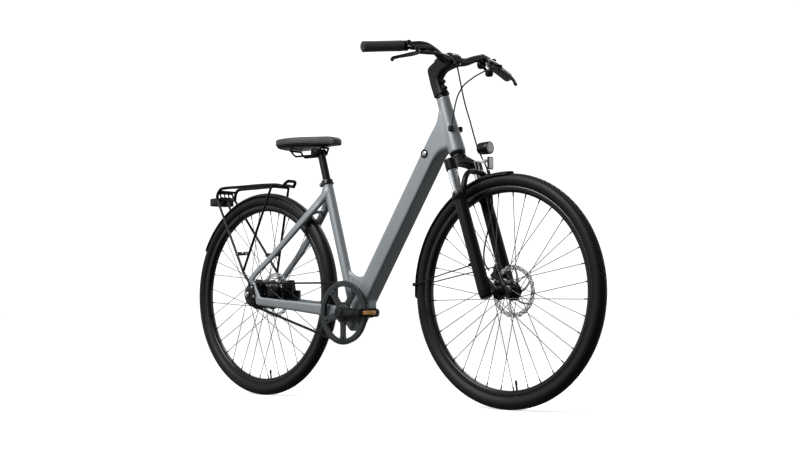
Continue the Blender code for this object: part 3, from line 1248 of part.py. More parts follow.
def build_controls():
    for side, hand in ((-1, "right"), (1, "left")):
        def here(x, y, z):
            return Vector((x, side * y, z))
        grip_dir = (bar_grip(1.0) - bar_grip(0.0)).normalized()
        grip_dir.y *= side
        ring_at = here(*bar_grip(-0.056))
        body_from = here(0.3500, 0.2117, 1.0794)
        body_to = here(0.3620, 0.1393, 1.0853)
        master = turned("brake_master_" + hand, ring_at, grip_dir,
                        [(-0.0065, BAR_RADIUS + 0.0040), (-0.0045, BAR_RADIUS + 0.0050),
                         (0.0045, BAR_RADIUS + 0.0050), (0.0065, BAR_RADIUS + 0.0040)], BLACK_METAL, 16)
        web_y = 0.1600
        join(master,
             rod("body", [body_from, body_from.lerp(body_to, 0.5), body_to], [0.0085, 0.0090, 0.0075],
                 BLACK_METAL, 10),
             rod("neck", [ring_at + Vector((0.006, 0, -0.002)), here(0.3520, 0.2065, 1.0795)], 0.0062,
                 BLACK_METAL, 8),
             turned("cap", here(0.3350, 0.2045, 1.0900), UP, [(0.0, 0.0080), (0.0110, 0.0080), (0.0140, 0.0050)],
                    BLACK_METAL, 10),
             rod("housing", [here(*HOUSING_FROM), here(*HOUSING_TO[hand])], 0.0060, BLACK_METAL, 8),
             rod("web", [here(0.3590, web_y, 1.0840), here(0.3660, web_y, 1.0650)], 0.0050, BLACK_METAL, 8),
             turned("ear", here(*LEVER_PIVOT), UP, [(EAR_BOTTOM, 0.0060), (EAR_BOTTOM + 0.015, 0.0060)],
                    BLACK_METAL, 10),
             rod("ear_neck", [here(0.3640, 0.2000, 1.0745), here(0.3530, 0.2000, 1.0800)], 0.0060,
                 BLACK_METAL, 8))
        bar_room = [here(*p) for p in BAR_HALF_RUN[4:]] + [here(*bar_grip(0.3))]
        cut(master, rod("bar_room", bar_room, room_for(BAR_RADIUS, BAR_STEPS), BLACK_METAL, BAR_STEPS))

        pivot = here(*LEVER_PIVOT)
        tip = here(*LEVER_TIP)
        away = (tip - pivot).normalized()
        lever = rod("brake_lever_" + hand, [
            pivot - 0.012 * away, pivot, pivot.lerp(tip, 0.3) + Vector((0.004, 0, 0)),
            pivot.lerp(tip, 0.75) + Vector((0.003, 0, 0)), tip, tip + Vector((0.002, side * 0.003, -0.004)),
        ], [0.0055, 0.0062, 0.0048, 0.0042, 0.0045, 0.0040], BLACK_METAL, 8)
        room_low = EAR_BOTTOM - TURNING
        cut(lever, box("ear_room", pivot + Vector((0, 0, room_low + 0.0100)), (0.05, 0.026, 0.0200), BLACK_METAL))

    pad = turned("control_pad", Vector(BAR_HALF_RUN[4]), Vector(BAR_HALF_RUN[5]) - Vector(BAR_HALF_RUN[4]),
                 [(0.0010, BAR_RADIUS + 0.0022), (0.0140, BAR_RADIUS + 0.0022)], BLACK_PLASTIC, 14)
    join(pad,
         turned("pod", Vector((0.3370, 0.1390, 1.0765)), Vector((1, 0, 0)),
                [(-0.0095, 0.0130), (-0.0075, 0.0150), (0.0065, 0.0150)], BLACK_PLASTIC, 16),
         rod("link", [(0.3370, 0.1490, 1.0680), (0.3440, 0.1620, 1.0540)], 0.0050, BLACK_PLASTIC, 8),
         turned("bell", Vector((0.3450, 0.1670, 1.0400)), UP,
                [(0.0, 0.0090), (0.0060, 0.0135), (0.0180, 0.0135)], BLACK_PLASTIC, 16))
    cut(pad, rod("bar_room", BAR_HALF_RUN, room_for(BAR_RADIUS, BAR_STEPS), BLACK_METAL, BAR_STEPS))


def build_lights():
    lamp_at = Vector((0.462, 0, 0.785))
    half = 0.0185
    radius = 0.0195
    lamp = turned("headlight", lamp_at, Vector((1, 0, 0)), [
        (-half, radius - 0.006), (-half + 0.006, radius - 0.001), (half, radius),
    ], BLACK_PLASTIC, 20)
    foot = box("foot", lamp_at + Vector((-0.001, 0, -radius - 0.006)), (0.012, 0.010, 0.018), BLACK_PLASTIC)
    join(lamp, foot)
    cut(lamp, turned("recess", lamp_at, Vector((1, 0, 0)),
                     [(half - 0.008, radius - 0.003), (half + 0.01, radius - 0.003)], BLACK_PLASTIC, 20))
    turned("headlight_lens", lamp_at, Vector((1, 0, 0)), [
        (half - 0.008 + CLEAR, radius - 0.003 - CLEAR), (half - 0.003, radius - 0.003 - CLEAR),
        (half - 0.001, radius - 0.009),
    ], CLEAR_LENS, 20)
    bracket_top = lamp_at + Vector((-0.001, 0, -radius - 0.015 - CLEAR - 0.0030))
    arch_face = steered(ARCH_TOP - 0.002, ARCH_AHEAD + ARCH_RADIUS + CLEAR + 0.0024)
    bracket = rod("headlight_bracket", [
        bracket_top + Vector((0, 0.006, 0)), bracket_top + Vector((-0.004, 0.007, -0.006)),
        arch_face + Vector((-0.010, 0.008, 0.030)), arch_face + Vector((-0.003, 0.008, 0.008)), arch_face,
        arch_face + Vector((-0.003, -0.008, 0.008)), arch_face + Vector((-0.010, -0.008, 0.030)),
        bracket_top + Vector((-0.004, -0.007, -0.006)), bracket_top + Vector((0, -0.006, 0)),
    ], 0.0022, STEEL, 6)
    crosspiece = box("crosspiece", bracket_top, (0.014, 0.018, 0.0060), STEEL)
    arm = box("arm", bracket_top + Vector((0.010, 0, -0.003)), (0.022, 0.006, 0.005), BLACK_PLASTIC)
    reflector = box("reflector", Vector((0.4800, 0, 0.7380)), (0.005, 0.021, 0.036), CLEAR_LENS, bevel=0.0015)
    join(bracket, crosspiece, arm, reflector)


SHELL_UNDER = 0.8480
RAIL_RUN = [
    (-0.3830, 0.0240, 0.8500), (-0.3700, 0.0230, 0.8330), (-0.3570, 0.0220, 0.8233), (-0.2610, 0.0220, 0.8206),
    (-0.2480, 0.0205, 0.8270), (-0.2330, 0.0160, 0.8500),
]
RAIL_RADIUS = 0.0035
POST_HEAD_RADIUS = 0.0165


def build_saddle():
    """A crowned pad: each station gives x, half width, top and side edge heights, on a flat underside."""
    stations = [
        (-0.4110, 0.0400, 0.8790, 0.8690),
        (-0.4055, 0.0570, 0.8845, 0.8670),
        (-0.3900, 0.0690, 0.8865, 0.8660),
        (-0.3650, 0.0735, 0.8865, 0.8660),
        (-0.3250, 0.0695, 0.8855, 0.8660),
        (-0.2850, 0.0530, 0.8835, 0.8655),
        (-0.2450, 0.0355, 0.8815, 0.8645),
        (-0.2100, 0.0275, 0.8790, 0.8630),
        (-0.1870, 0.0235, 0.8750, 0.8600),
        (-0.1740, 0.0170, 0.8680, 0.8575),
        (-0.1700, 0.0090, 0.8610, 0.8560),
    ]
    rings = []
    for x, half, top, edge in stations:
        upper = [
            (half * cos(a), edge + (top - edge) * sin(a) ** 0.8) for a in (k * pi / 8 for k in range(9))
        ]
        lower = [(-0.92 * half, edge - 0.55 * (edge - SHELL_UNDER)), (-0.78 * half, SHELL_UNDER),
                 (0.78 * half, SHELL_UNDER), (0.92 * half, edge - 0.55 * (edge - SHELL_UNDER))]
        rings.append([Vector((x, y, z)) for y, z in upper + lower])
    loft("saddle", rings, COVER)

    def rail_run(side):
        return [(x, side * y, z) for x, y, z in RAIL_RUN]

    rear_x, rear_y, _ = RAIL_RUN[0]
    nose_x, nose_y, _ = RAIL_RUN[-1]
    bar_z = SHELL_UNDER - 0.0036
    bar = rod("saddle_rails", [(rear_x, -rear_y - 0.001, bar_z), (rear_x, rear_y + 0.001, bar_z)], 0.0032,
              BLACK_METAL)
    nose = rod("nose_bar", [(nose_x, -nose_y, bar_z), (nose_x, nose_y, bar_z)], 0.0032, BLACK_METAL)
    join(bar, nose, *[rod("rail", rail_run(side), RAIL_RADIUS, BLACK_METAL) for side in (-1, 1)])
    cut(bar, box("trim", Vector((-0.28, 0, SHELL_UNDER - CLEAR + 0.01)), (0.4, 0.2, 0.02), STEEL))

    top = (SEATPOST_TOP - BRACKET_Z) / sin(SEAT_ANGLE)
    tube_top = (SEAT_TUBE_TOP - BRACKET_Z) / sin(SEAT_ANGLE)
    post = turned("seatpost", BRACKET, SEAT_UP, [
        (tube_top - SEATPOST_DEPTH, SEATPOST_RADIUS), (top, SEATPOST_RADIUS),
    ], BLACK_METAL, 16)
    head_at = Vector((-0.2652, 0, SHELL_UNDER - POST_HEAD_RADIUS - 0.0010))
    head = turned("head", head_at, LEFT, [
        (-0.0280, POST_HEAD_RADIUS - 0.002), (-0.0260, POST_HEAD_RADIUS),
        (0.0260, POST_HEAD_RADIUS), (0.0280, POST_HEAD_RADIUS - 0.002),
    ], BLACK_METAL, 16)
    join(post, head)
    cut(post, *[rod("rail_room", rail_run(side), room_for(RAIL_RADIUS, ROD_STEPS), BLACK_METAL)
                for side in (-1, 1)])


FRONT_HOSE_ROUTE = [
    (0.3660, -0.1160, 1.0728), (0.3660, -0.0824, 1.0737), (0.3660, -0.0481, 1.0684), (0.3640, -0.0258, 1.0562),
    (0.3605, -0.0083, 1.0414), (0.3648, 0.0020, 0.9908), (0.3758, 0.0080, 0.9311), (0.3910, 0.0120, 0.8793),
    (0.4128, 0.0200, 0.7976), (0.4240, 0.0310, 0.7600), (0.4360, 0.0390, 0.7280), (0.4430, 0.0415, 0.7000),
    (0.4500, 0.0415, 0.6600), (0.4560, 0.0400, 0.6200), (0.4490, 0.0380, 0.5700), (0.4360, 0.0360, 0.5200),
    (0.4250, 0.0360, 0.4750), (0.4250, 0.0380, 0.4400), (0.4420, 0.0390, 0.4150),
]
REAR_HOSE_ROUTE = [
    (0.3660, 0.1492, 1.0602), (0.3665, 0.1435, 1.0582), (0.3675, 0.1166, 1.0483), (0.3680, 0.0995, 1.0406),
    (0.3670, 0.0718, 1.0270), (0.3650, 0.0461, 1.0112), (0.3630, 0.0215, 0.9942), (0.3610, 0.0069, 0.9770),
    (0.3600, -0.0090, 0.9533), (0.3580, -0.0178, 0.9261), (0.3555, -0.0218, 0.9010), (0.3500, -0.0222, 0.8750),
    (0.3480, -0.0222, 0.8651),
]


def main():
    build_down_tube()
    build_seat_tube()
    build_stays()
    build_bearings()
    build_guides()
    build_wheels()
    build_chainring()
    build_sprocket()
    build_belt()
    build_cranks()
    build_fork()
    build_calipers()
    build_guards()
    build_rack()
    build_bar()
    build_stem()
    build_controls()
    build_lights()
    build_saddle()
    hose("front_brake_hose", FRONT_HOSE_ROUTE, HOSE_DIAMETER, BLACK_PLASTIC)
    hose("rear_brake_hose", REAR_HOSE_ROUTE, HOSE_DIAMETER, BLACK_PLASTIC)
    for made in bpy.context.scene.objects:
        if made.type == "MESH":
            made.data.shade_smooth()
            made.data.set_sharp_from_angle(angle=radians(35))


main()
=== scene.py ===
"""Electric city bike, dressed piece by piece in the order in which the bike is put together.

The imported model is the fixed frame. Lengths are metres: x runs forwards, y to the rider's left, z up.
"""
from math import cos, pi, radians, sin

import bmesh
import bpy
import numpy as np
from mathutils import Matrix, Vector


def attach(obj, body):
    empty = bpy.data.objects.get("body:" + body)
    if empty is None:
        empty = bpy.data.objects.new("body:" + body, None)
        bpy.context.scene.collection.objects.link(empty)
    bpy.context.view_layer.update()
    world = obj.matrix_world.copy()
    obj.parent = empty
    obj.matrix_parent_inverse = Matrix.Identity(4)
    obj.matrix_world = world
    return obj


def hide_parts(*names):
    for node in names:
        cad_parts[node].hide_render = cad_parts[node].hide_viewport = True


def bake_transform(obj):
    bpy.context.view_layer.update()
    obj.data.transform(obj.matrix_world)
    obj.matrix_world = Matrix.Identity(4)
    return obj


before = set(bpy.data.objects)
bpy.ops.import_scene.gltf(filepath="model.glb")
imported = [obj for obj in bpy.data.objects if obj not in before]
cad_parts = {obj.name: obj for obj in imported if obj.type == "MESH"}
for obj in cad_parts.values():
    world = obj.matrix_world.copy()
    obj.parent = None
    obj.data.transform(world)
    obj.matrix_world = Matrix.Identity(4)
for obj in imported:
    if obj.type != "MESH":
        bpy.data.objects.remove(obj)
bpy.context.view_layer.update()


# Camera. It stands low at the right front of the bike, as the photograph's does, with a short
# telephoto lens and hardly any tilt.
EYE = Vector((2.9487, -3.0918, 0.2948))
YAW = radians(42.56)
PITCH = radians(-3.716)
ROLL = radians(-0.123)
LENS = 59.09


def camera_turn(yaw, pitch, roll):
    """The camera's axes as columns: back from the two angles, right level, then both rolled."""
    back = Vector((sin(yaw) * cos(pitch), -cos(yaw) * cos(pitch), sin(pitch)))
    right = Vector((cos(yaw), sin(yaw), 0))
    up = back.cross(right)
    rolled_right = cos(roll) * right + sin(roll) * up
    rolled_up = cos(roll) * up - sin(roll) * right
    return Matrix((rolled_right, rolled_up, back)).transposed().to_4x4()


camera = bpy.data.objects.new("camera", bpy.data.cameras.new("camera"))
camera.data.lens = LENS
camera.data.sensor_width = 36
camera.matrix_world = Matrix.Translation(EYE) @ camera_turn(YAW, PITCH, ROLL)
bpy.context.scene.collection.objects.link(camera)
bpy.context.scene.camera = camera


# Brake hoses. Black covered hydraulic hose, 5 mm thick. The front one runs from the right lever
# down past the head tube to the left fork leg, the rear one from the left lever into the frame.
HOSE_THICK = 0.005
FRONT_HOSE_ROUTE = (
    (0.366, -0.116, 1.0728), (0.366, -0.0824, 1.0737), (0.366, -0.0481, 1.0684), (0.364, -0.0258, 1.0562),
    (0.3605, -0.0083, 1.0414), (0.3648, 0.002, 0.9908), (0.3758, 0.008, 0.9311), (0.391, 0.012, 0.8793),
    (0.4128, 0.02, 0.7976), (0.424, 0.031, 0.76), (0.436, 0.039, 0.728), (0.443, 0.0415, 0.7),
    (0.45, 0.0415, 0.66), (0.456, 0.04, 0.62), (0.449, 0.038, 0.57), (0.436, 0.036, 0.52),
    (0.425, 0.036, 0.475), (0.425, 0.038, 0.44), (0.442, 0.039, 0.415)
)
REAR_HOSE_ROUTE = (
    (0.366, 0.1492, 1.0602), (0.3665, 0.1435, 1.0582), (0.3675, 0.1166, 1.0483), (0.368, 0.0995, 1.0406),
    (0.367, 0.0718, 1.027), (0.365, 0.0461, 1.0112), (0.363, 0.0215, 0.9942), (0.361, 0.0069, 0.977),
    (0.36, -0.009, 0.9533), (0.358, -0.0178, 0.9261), (0.3555, -0.0218, 0.901), (0.35, -0.0222, 0.875),
    (0.348, -0.0222, 0.8651)
)


class Value:
    """A shader socket on which an operator adds one Math node; a finish's maths is written on it."""

    def __init__(self, tree, socket):
        self.tree = tree
        self.socket = socket

    def math(self, operation, *terms):
        return self.tree.node("ShaderNodeMath", {"operation": operation}, dict(enumerate(terms)))

    def __add__(self, other):
        return self.math("ADD", self, other)

    def __sub__(self, other):
        return self.math("SUBTRACT", self, other)

    def __rsub__(self, other):
        return self.math("SUBTRACT", other, self)

    def __mul__(self, other):
        return self.math("MULTIPLY", self, other)

    __radd__ = __add__
    __rmul__ = __mul__


class NodeTree:
    """A material's or the world's nodes, each of which comes from one method."""

    def __init__(self, nodes):
        self.nodes = nodes

    def node(self, kind, settings=None, sockets=None, out=0):
        """Any node: its settings first, a ramp's stops of grey among them, then its sockets."""
        made = self.nodes.nodes.new(kind)
        for name, value in (settings or {}).items():
            if name == "stops":
                self.set_stops(made.color_ramp.elements, value)
            else:
                setattr(made, name, value)
        for name, value in (sockets or {}).items():
            self.feed(made.inputs[name], value)
        return Value(self, made.outputs[out])

    def set_stops(self, elements, stops):
        for number, (position, light) in enumerate(stops):
            element = elements[number] if number < 2 else elements.new(position)
            element.position = position
            element.color = (light, light, light, 1)

    def feed(self, socket, value):
        if isinstance(value, Value):
            self.nodes.links.new(value.socket, socket)
        else:
            socket.default_value = value


class Finish(NodeTree):
    """A material with one Principled shader, on which its constants are set, and its usual slot."""

    def __init__(self, name, slot, **constants):
        self.slot = slot
        self.material = bpy.data.materials.new(name)
        self.material.use_nodes = True
        super().__init__(self.material.node_tree)
        self.shader = self.nodes.nodes["Principled BSDF"]
        for socket, value in constants.items():
            self.shader.inputs[socket.replace("_", " ")].default_value = value

    def place(self):
        return self.node("ShaderNodeTexCoord", out="Object")

    def noise(self, scale, detail):
        return self.node(
            "ShaderNodeTexNoise", None, {"Vector": self.place(), "Scale": scale, "Detail": detail}, "Fac"
        )

    def blend(self, amount, low, high):
        """A colour between two, by an amount from 0 to 1."""
        return self.node("ShaderNodeMix", {"data_type": "RGBA"}, {"Factor": amount, 6: low, 7: high}, 2)

    def bump(self, height, strength, distance):
        relief = self.node(
            "ShaderNodeBump", None, {"Height": height, "Strength": strength, "Distance": distance}
        )
        self.feed(self.shader.inputs["Normal"], relief)

    def colour(self, value):
        self.feed(self.shader.inputs["Base Color"], value)

    def rough(self, value):
        self.feed(self.shader.inputs["Roughness"], value)


def tone(red, green, blue):
    """A screen colour from 0 to 255 as the linear colour that a shader wants."""
    screen = np.array((red, green, blue)) / 255
    linear = np.where(screen <= 0.04045, screen / 12.92, ((screen + 0.055) / 1.055) ** 2.4)
    return (*linear.tolist(), 1.0)


def speckled(name, slot, low, high, rough, spread, patch, grain, relief, **constants):
    """A finish between two tones in soft patches, with a fine grain in its gloss and its relief."""
    finish = Finish(name, slot, **constants)
    patches = finish.noise(patch, 4.0)
    grains = finish.noise(grain, 2.0)
    finish.colour(finish.blend(patches * 0.7 + grains * 0.3, tone(*low), tone(*high)))
    finish.rough(rough + (patches - 0.5) * spread + (grains - 0.5) * spread)
    finish.bump(grains, relief, 0.0004)
    return finish


hose_rubber = speckled(
    "black_hose_cover", "rubber", (10, 10, 11), (18, 19, 19), 0.44, 0.14, 60, 2200, 0.12
)


def skinned(rings, closed=False):
    """Rings (n, k, 3) joined by quads; closed joins the last ring to the first, else fans cap both."""
    count, around = rings.shape[:2]
    first = np.arange(count if closed else count - 1)[:, None] * around
    step = np.arange(around)[None, :]
    after = (step + 1) % around
    ahead = (first + around) % (count * around)
    faces = [np.stack([first + step, first + after, ahead + after, ahead + step], -1).reshape(-1, 4)]
    points = rings.reshape(-1, 3)
    if not closed:
        middles = rings[[0, -1]].mean(1)
        near, far = len(points), len(points) + 1
        points = np.concatenate([points, middles])
        low = step[0]
        faces.append(np.stack([low, np.full(around, near), after[0]], -1))
        last = (count - 1) * around
        faces.append(np.stack([last + after[0], np.full(around, far), last + low], -1))
    return points, faces


def unit(vectors):
    """Vectors cut to length one along their last axis."""
    return vectors / np.linalg.norm(vectors, axis=-1, keepdims=True)


def smooth_line(points, per):
    """Points on a Catmull-Rom curve through the given rows, with so many steps a span."""
    rows = np.asarray(points, float)
    rows = np.concatenate([2 * rows[:1] - rows[1:2], rows, 2 * rows[-1:] - rows[-2:-1]])
    step = (np.arange(per) / per)[None, :, None]
    a, b, c, d = (rows[k:len(rows) - 3 + k, None] for k in range(4))
    bend = 2 * a - 5 * b + 4 * c - d
    twist = 3 * b - a - 3 * c + d
    curve = 2 * b + (c - a) * step + bend * step**2 + twist * step**3
    return np.concatenate([curve.reshape(-1, rows.shape[1]) / 2, rows[-2:-1]])


def carried_frames(path, side):
    """Tangent, side and up along a path: the side is carried on and only kept square to the path."""
    tangent = unit(np.gradient(path, axis=0))
    sides = np.empty_like(path)
    held = np.asarray(side, float)
    for station, ahead in enumerate(tangent):
        held = held - ahead * (held @ ahead)
        held = held / np.linalg.norm(held)
        sides[station] = held
    return tangent, sides, np.cross(tangent, sides)


def rod(path, radius, side=(0, 1, 0), around=20):
    """A round bar: a circle of the given radius, or one radius a point, carried along the path."""
    path = np.asarray(path, float)
    _, sides, ups = carried_frames(path, side)
    turn = np.arange(around) / around * 2 * pi
    radius = np.broadcast_to(np.asarray(radius, float), (len(path),))[:, None, None]
    way = np.cos(turn)[None, :, None] * sides[:, None] + np.sin(turn)[None, :, None] * ups[:, None]
    return skinned(path[:, None] + radius * way)


MERGE_DISTANCE = 1e-5


def make_mesh(name, shapes):
    """A mesh from shapes, each a pair of its points and a list of arrays of faces: later faces count
    on from the earlier points, doubles are merged, and closed shells are turned outwards."""
    starts = np.cumsum([0] + [len(points) for points, _ in shapes])
    points = np.concatenate([points for points, _ in shapes])
    faces = [array + start for (_, faces), start in zip(shapes, starts) for array in faces]
    mesh = bpy.data.meshes.new(name)
    mesh.from_pydata(points.tolist(), [], [face for array in faces for face in array.tolist()])
    work = bmesh.new()
    work.from_mesh(mesh)
    bmesh.ops.remove_doubles(work, verts=work.verts, dist=MERGE_DISTANCE)
    bmesh.ops.recalc_face_normals(work, faces=work.faces)
    work.to_mesh(mesh)
    work.free()
    return mesh


def finish_piece(name, mesh, finish, body, nodes, crease, bevel=0.0):
    """A mesh as a piece of the bike: its finish, its body and the nodes it stands for, with its
    edges bevelled where a width is given. Edges sharper than the crease stay sharp."""
    mesh.name = name
    piece = bpy.data.objects.new(name, mesh)
    bpy.context.scene.collection.objects.link(piece)
    mesh.polygons.foreach_set("use_smooth", np.ones(len(mesh.polygons), bool))
    mesh.set_sharp_from_angle(angle=radians(crease))
    mesh.materials.clear()
    mesh.materials.append(finish.material)
    if bevel:
        soft = piece.modifiers.new("soft_edges", "BEVEL")
        soft.width = bevel
        soft.segments = 2
        soft.limit_method = "ANGLE"
        soft.angle_limit = radians(32)
        soft.harden_normals = True
    if body:
        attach(piece, body)
    if nodes:
        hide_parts(*nodes)
    return piece


def make_piece(name, shapes, finish, body, nodes=(), crease=38):
    """One shape or a list of them as one piece of the bike."""
    mesh = make_mesh(name, shapes if isinstance(shapes, list) else [shapes])
    return finish_piece(name, mesh, finish, body, nodes, crease)


def brake_hose(name, route):
    """One hose: a tube on its route, standing for its CAD node, with its placing baked into its points.
    """
    line = smooth_line(route, 6)
    hose = make_piece(name + "_tube", rod(line, HOSE_THICK / 2, (0, 0, 1), 14), hose_rubber, None, [name])
    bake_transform(hose)


brake_hose("front_brake_hose", FRONT_HOSE_ROUTE)
brake_hose("rear_brake_hose", REAR_HOSE_ROUTE)


# Studio. A pale floor that runs out of view, a white sky behind the bike that is dim below the floor
# and dim behind the camera, and three large soft lamps. The floor throws no light back up, so
# undersides stay dark as in the photograph.
FLOOR_HALF = 60.0
FLOOR_NEAR = 0.9
FLOOR_FAR = 4.0

floor_finish = speckled(
    "pale_floor", None, (238, 238, 238), (243, 243, 243), 0.85, 0.05, 3, 40, 0.01, Emission_Strength=0.56
)
# The floor's own glow is painted light: dimmer near the bike, so the lamps' shadows on it show, and full
# white far out, where it meets the sky.
from_bike = floor_finish.node(
    "ShaderNodeVectorMath", {"operation": "LENGTH"}, {0: floor_finish.place()}, "Value"
)
far = floor_finish.node(
    "ShaderNodeMapRange", None, {"Value": from_bike, "From Min": FLOOR_NEAR, "From Max": FLOOR_FAR},
    "Result"
)
floor_finish.feed(
    floor_finish.shader.inputs["Emission Color"],
    floor_finish.blend(far, tone(196, 196, 196), tone(255, 255, 255))
)
floor_mesh = bpy.data.meshes.new("floor")
floor_corners = [(x * FLOOR_HALF, y * FLOOR_HALF, 0) for x, y in ((-1, -1), (1, -1), (1, 1), (-1, 1))]
floor_mesh.from_pydata(floor_corners, [], [(0, 1, 2, 3)])
floor_mesh.materials.append(floor_finish.material)
floor = bpy.data.objects.new("floor", floor_mesh)
floor.visible_diffuse = False
floor.visible_glossy = False
bpy.context.scene.collection.objects.link(floor)

SKY_LIGHT = 1.18
ROOM_LIGHT = 0.24
FADE_START = -0.15
FADE_END = 0.85
SKY_STOPS = ((0.4, 0.18), (0.492, 1.0), (0.615, 1.0), (0.72, 0.4), (1.0, 0.55))
sky = bpy.data.worlds.new("sky")
sky.use_nodes = True
bpy.context.scene.world = sky
sky_tree = NodeTree(sky.node_tree)
way = sky_tree.node("ShaderNodeTexCoord", out="Generated")
height = sky_tree.node("ShaderNodeSeparateXYZ", None, {0: way}, "Z")
bands = sky_tree.node("ShaderNodeValToRGB", {"stops": SKY_STOPS}, {"Fac": height * 0.5 + 0.5}, "Color")
behind_camera = sky_tree.node(
    "ShaderNodeVectorMath", {"operation": "DOT_PRODUCT"}, {0: way, 1: (sin(YAW), -cos(YAW), 0)}, "Value"
)
fade = {
    "Value": behind_camera, "From Min": FADE_START, "From Max": FADE_END, "To Min": SKY_LIGHT,
    "To Max": ROOM_LIGHT
}
light = sky_tree.node("ShaderNodeMapRange", {"interpolation_type": "SMOOTHSTEP"}, fade, "Result")
background = sky.node_tree.nodes["Background"]
sky_tree.feed(background.inputs["Color"], bands)
sky_tree.feed(background.inputs["Strength"], light)

LAMPS_AIM = Vector((0, 0, 0.6))
for lamp_name, place, size, power in (
    ("key_lamp", (-0.4, -2.6, 3.0), 2.4, 205), ("fill_lamp", (-3.2, -1.6, 1.6), 1.8, 26),
    ("rim_lamp", (-0.6, 2.8, 2.6), 1.8, 34)
):
    lamp = bpy.data.objects.new(lamp_name, bpy.data.lights.new(lamp_name, "AREA"))
    lamp.data.size = size
    lamp.data.energy = power
    lamp.location = place
    lamp.visible_glossy = lamp_name != "fill_lamp"
    lamp.rotation_euler = (LAMPS_AIM - Vector(place)).to_track_quat("-Z", "Y").to_euler()
    bpy.context.scene.collection.objects.link(lamp)
bpy.context.scene.view_settings.view_transform = "Standard"


# Frame. Aluminium tubes welded and filed smooth: a deep down tube that holds the battery, a seat
# tube with a web in the valley, and flat-sided stays that run to forged ends at the rear axle.
# Each tube is its own smooth loft; the lofts are then made one skin, whose joints are rounded.
grey_paint = speckled(
    "satin_grey_paint", "grey_paint", (114, 119, 122), (130, 135, 139), 0.46, 0.08, 9, 1500, 0.05,
    Metallic=0.45, Coat_Weight=0.06, Coat_Roughness=0.4
)


def turned(profile, centre, axis, around, closed=False):
    """A lathe: rows of (along the axis, radius) turned round it; a closed profile makes a ring."""
    axis = unit(np.asarray(axis, float))
    helper = np.array((0, 0, 1.0)) if abs(axis[2]) < 0.9 else np.array((1.0, 0, 0))
    side = unit(np.cross(axis, helper))
    up = np.cross(axis, side)
    turn = np.arange(around) / around * 2 * pi
    way = np.cos(turn)[:, None] * side + np.sin(turn)[:, None] * up
    profile = np.asarray(profile, float)
    rings = np.asarray(centre, float) + profile[:, None, :1] * axis + profile[:, None, 1:2] * way[None]
    return skinned(rings, closed=closed)


def rounded(width, height, corner, per=6, lower=None):
    """Rounded rectangles (n, 4 per, 2): four quarter circles joined straight, the lower two of a
    radius of their own where one is given."""
    given = (width, height, corner, corner if lower is None else lower)
    given = [np.atleast_1d(np.asarray(value, float)) for value in given]
    width, height, corner, lower = np.broadcast_arrays(*given)
    corner = np.where(np.arange(4 * per) < 2 * per, corner[:, None], lower[:, None])
    turn = np.concatenate([np.linspace(quarter, quarter + 1, per) for quarter in range(4)]) * pi / 2
    across = np.repeat([1, -1, -1, 1], per) * (width[:, None] / 2 - corner) + corner * np.cos(turn)
    upward = np.repeat([1, 1, -1, -1], per) * (height[:, None] / 2 - corner) + corner * np.sin(turn)
    return np.stack([across, upward], -1)


def bar(path, side, width, height, corner, per=6):
    """A bar of rounded rectangles, width along the side and height square to it, along the path."""
    path = np.asarray(path, float)
    _, sides, ups = carried_frames(path, side)
    outline = rounded(width, height, corner, per)
    return skinned(path[:, None] + outline[..., :1] * sides[:, None] + outline[..., 1:] * ups[:, None])


FRONT_AXLE = np.array((0.539, 0, 0.351))
REAR_AXLE = np.array((-0.539, 0, 0.351))
BRACKET = np.array((-0.0915, 0, 0.2875))
HEAD_ANGLE = radians(71.6)
SEAT_ANGLE = radians(73.3)
DOWN_ANGLE = radians(56.3)
STEER_UP = np.array((-cos(HEAD_ANGLE), 0, sin(HEAD_ANGLE)))
STEER_AHEAD = np.array((sin(HEAD_ANGLE), 0, cos(HEAD_ANGLE)))
SEAT_UP = np.array((-cos(SEAT_ANGLE), 0, sin(SEAT_ANGLE)))
DOWN_UP = np.array((cos(DOWN_ANGLE), 0, sin(DOWN_ANGLE)))
DOWN_OUT = np.array((sin(DOWN_ANGLE), 0, -cos(DOWN_ANGLE)))
FORK_OFFSET = 0.042
SIDE = np.array((0, 1.0, 0))
RIGHT, LEFT = -1, 1
SIDES = ((RIGHT, "right"), (LEFT, "left"))


def steered(along, ahead, side=0.0):
    """A point by the steering axis: so far up it from the axle's level, ahead of it, and aside."""
    return FRONT_AXLE - FORK_OFFSET * STEER_AHEAD + along * STEER_UP + ahead * STEER_AHEAD + side * SIDE


def on_seat_tube(height, back=0.0, side=0.0):
    """The point of the seat tube's axis at a height, moved back and aside."""
    return BRACKET + (height - BRACKET[2]) / sin(SEAT_ANGLE) * SEAT_UP + np.array((-back, side, 0))


def on_down_tube(height, below):
    """The point at a height on a line that runs so far below the down tube's axis."""
    along = (height - BRACKET[2] + below * cos(DOWN_ANGLE)) / sin(DOWN_ANGLE)
    return BRACKET + below * DOWN_OUT + along * DOWN_UP


def welded(name, shapes, voxel, rounds):
    """Closed shapes as one skin: a voxel remesh, then rounds of smoothing that fill the joints."""
    mesh = make_mesh(name, shapes)
    worked = bpy.data.objects.new(name, mesh)
    bpy.context.scene.collection.objects.link(worked)
    remesh = worked.modifiers.new("skin", "REMESH")
    remesh.mode = "VOXEL"
    remesh.voxel_size = voxel
    smooth = worked.modifiers.new("filed", "SMOOTH")
    smooth.factor = 0.5
    smooth.iterations = rounds
    bpy.context.view_layer.update()
    skin = bpy.data.meshes.new_from_object(worked.evaluated_get(bpy.context.evaluated_depsgraph_get()))
    bpy.data.objects.remove(worked)
    return skin


def between(upper, lower, width, corner, per=6, lower_corner=None):
    """Rounded rectangles that stand between an upper and a lower line, in the bike's middle."""
    outline = rounded(width, np.linalg.norm(upper - lower, axis=1), corner, per, lower_corner)
    middle = (upper + lower) / 2
    rise = unit(upper - lower)
    return skinned(middle[:, None] + outline[..., :1] * SIDE + outline[..., 1:] * rise[:, None])


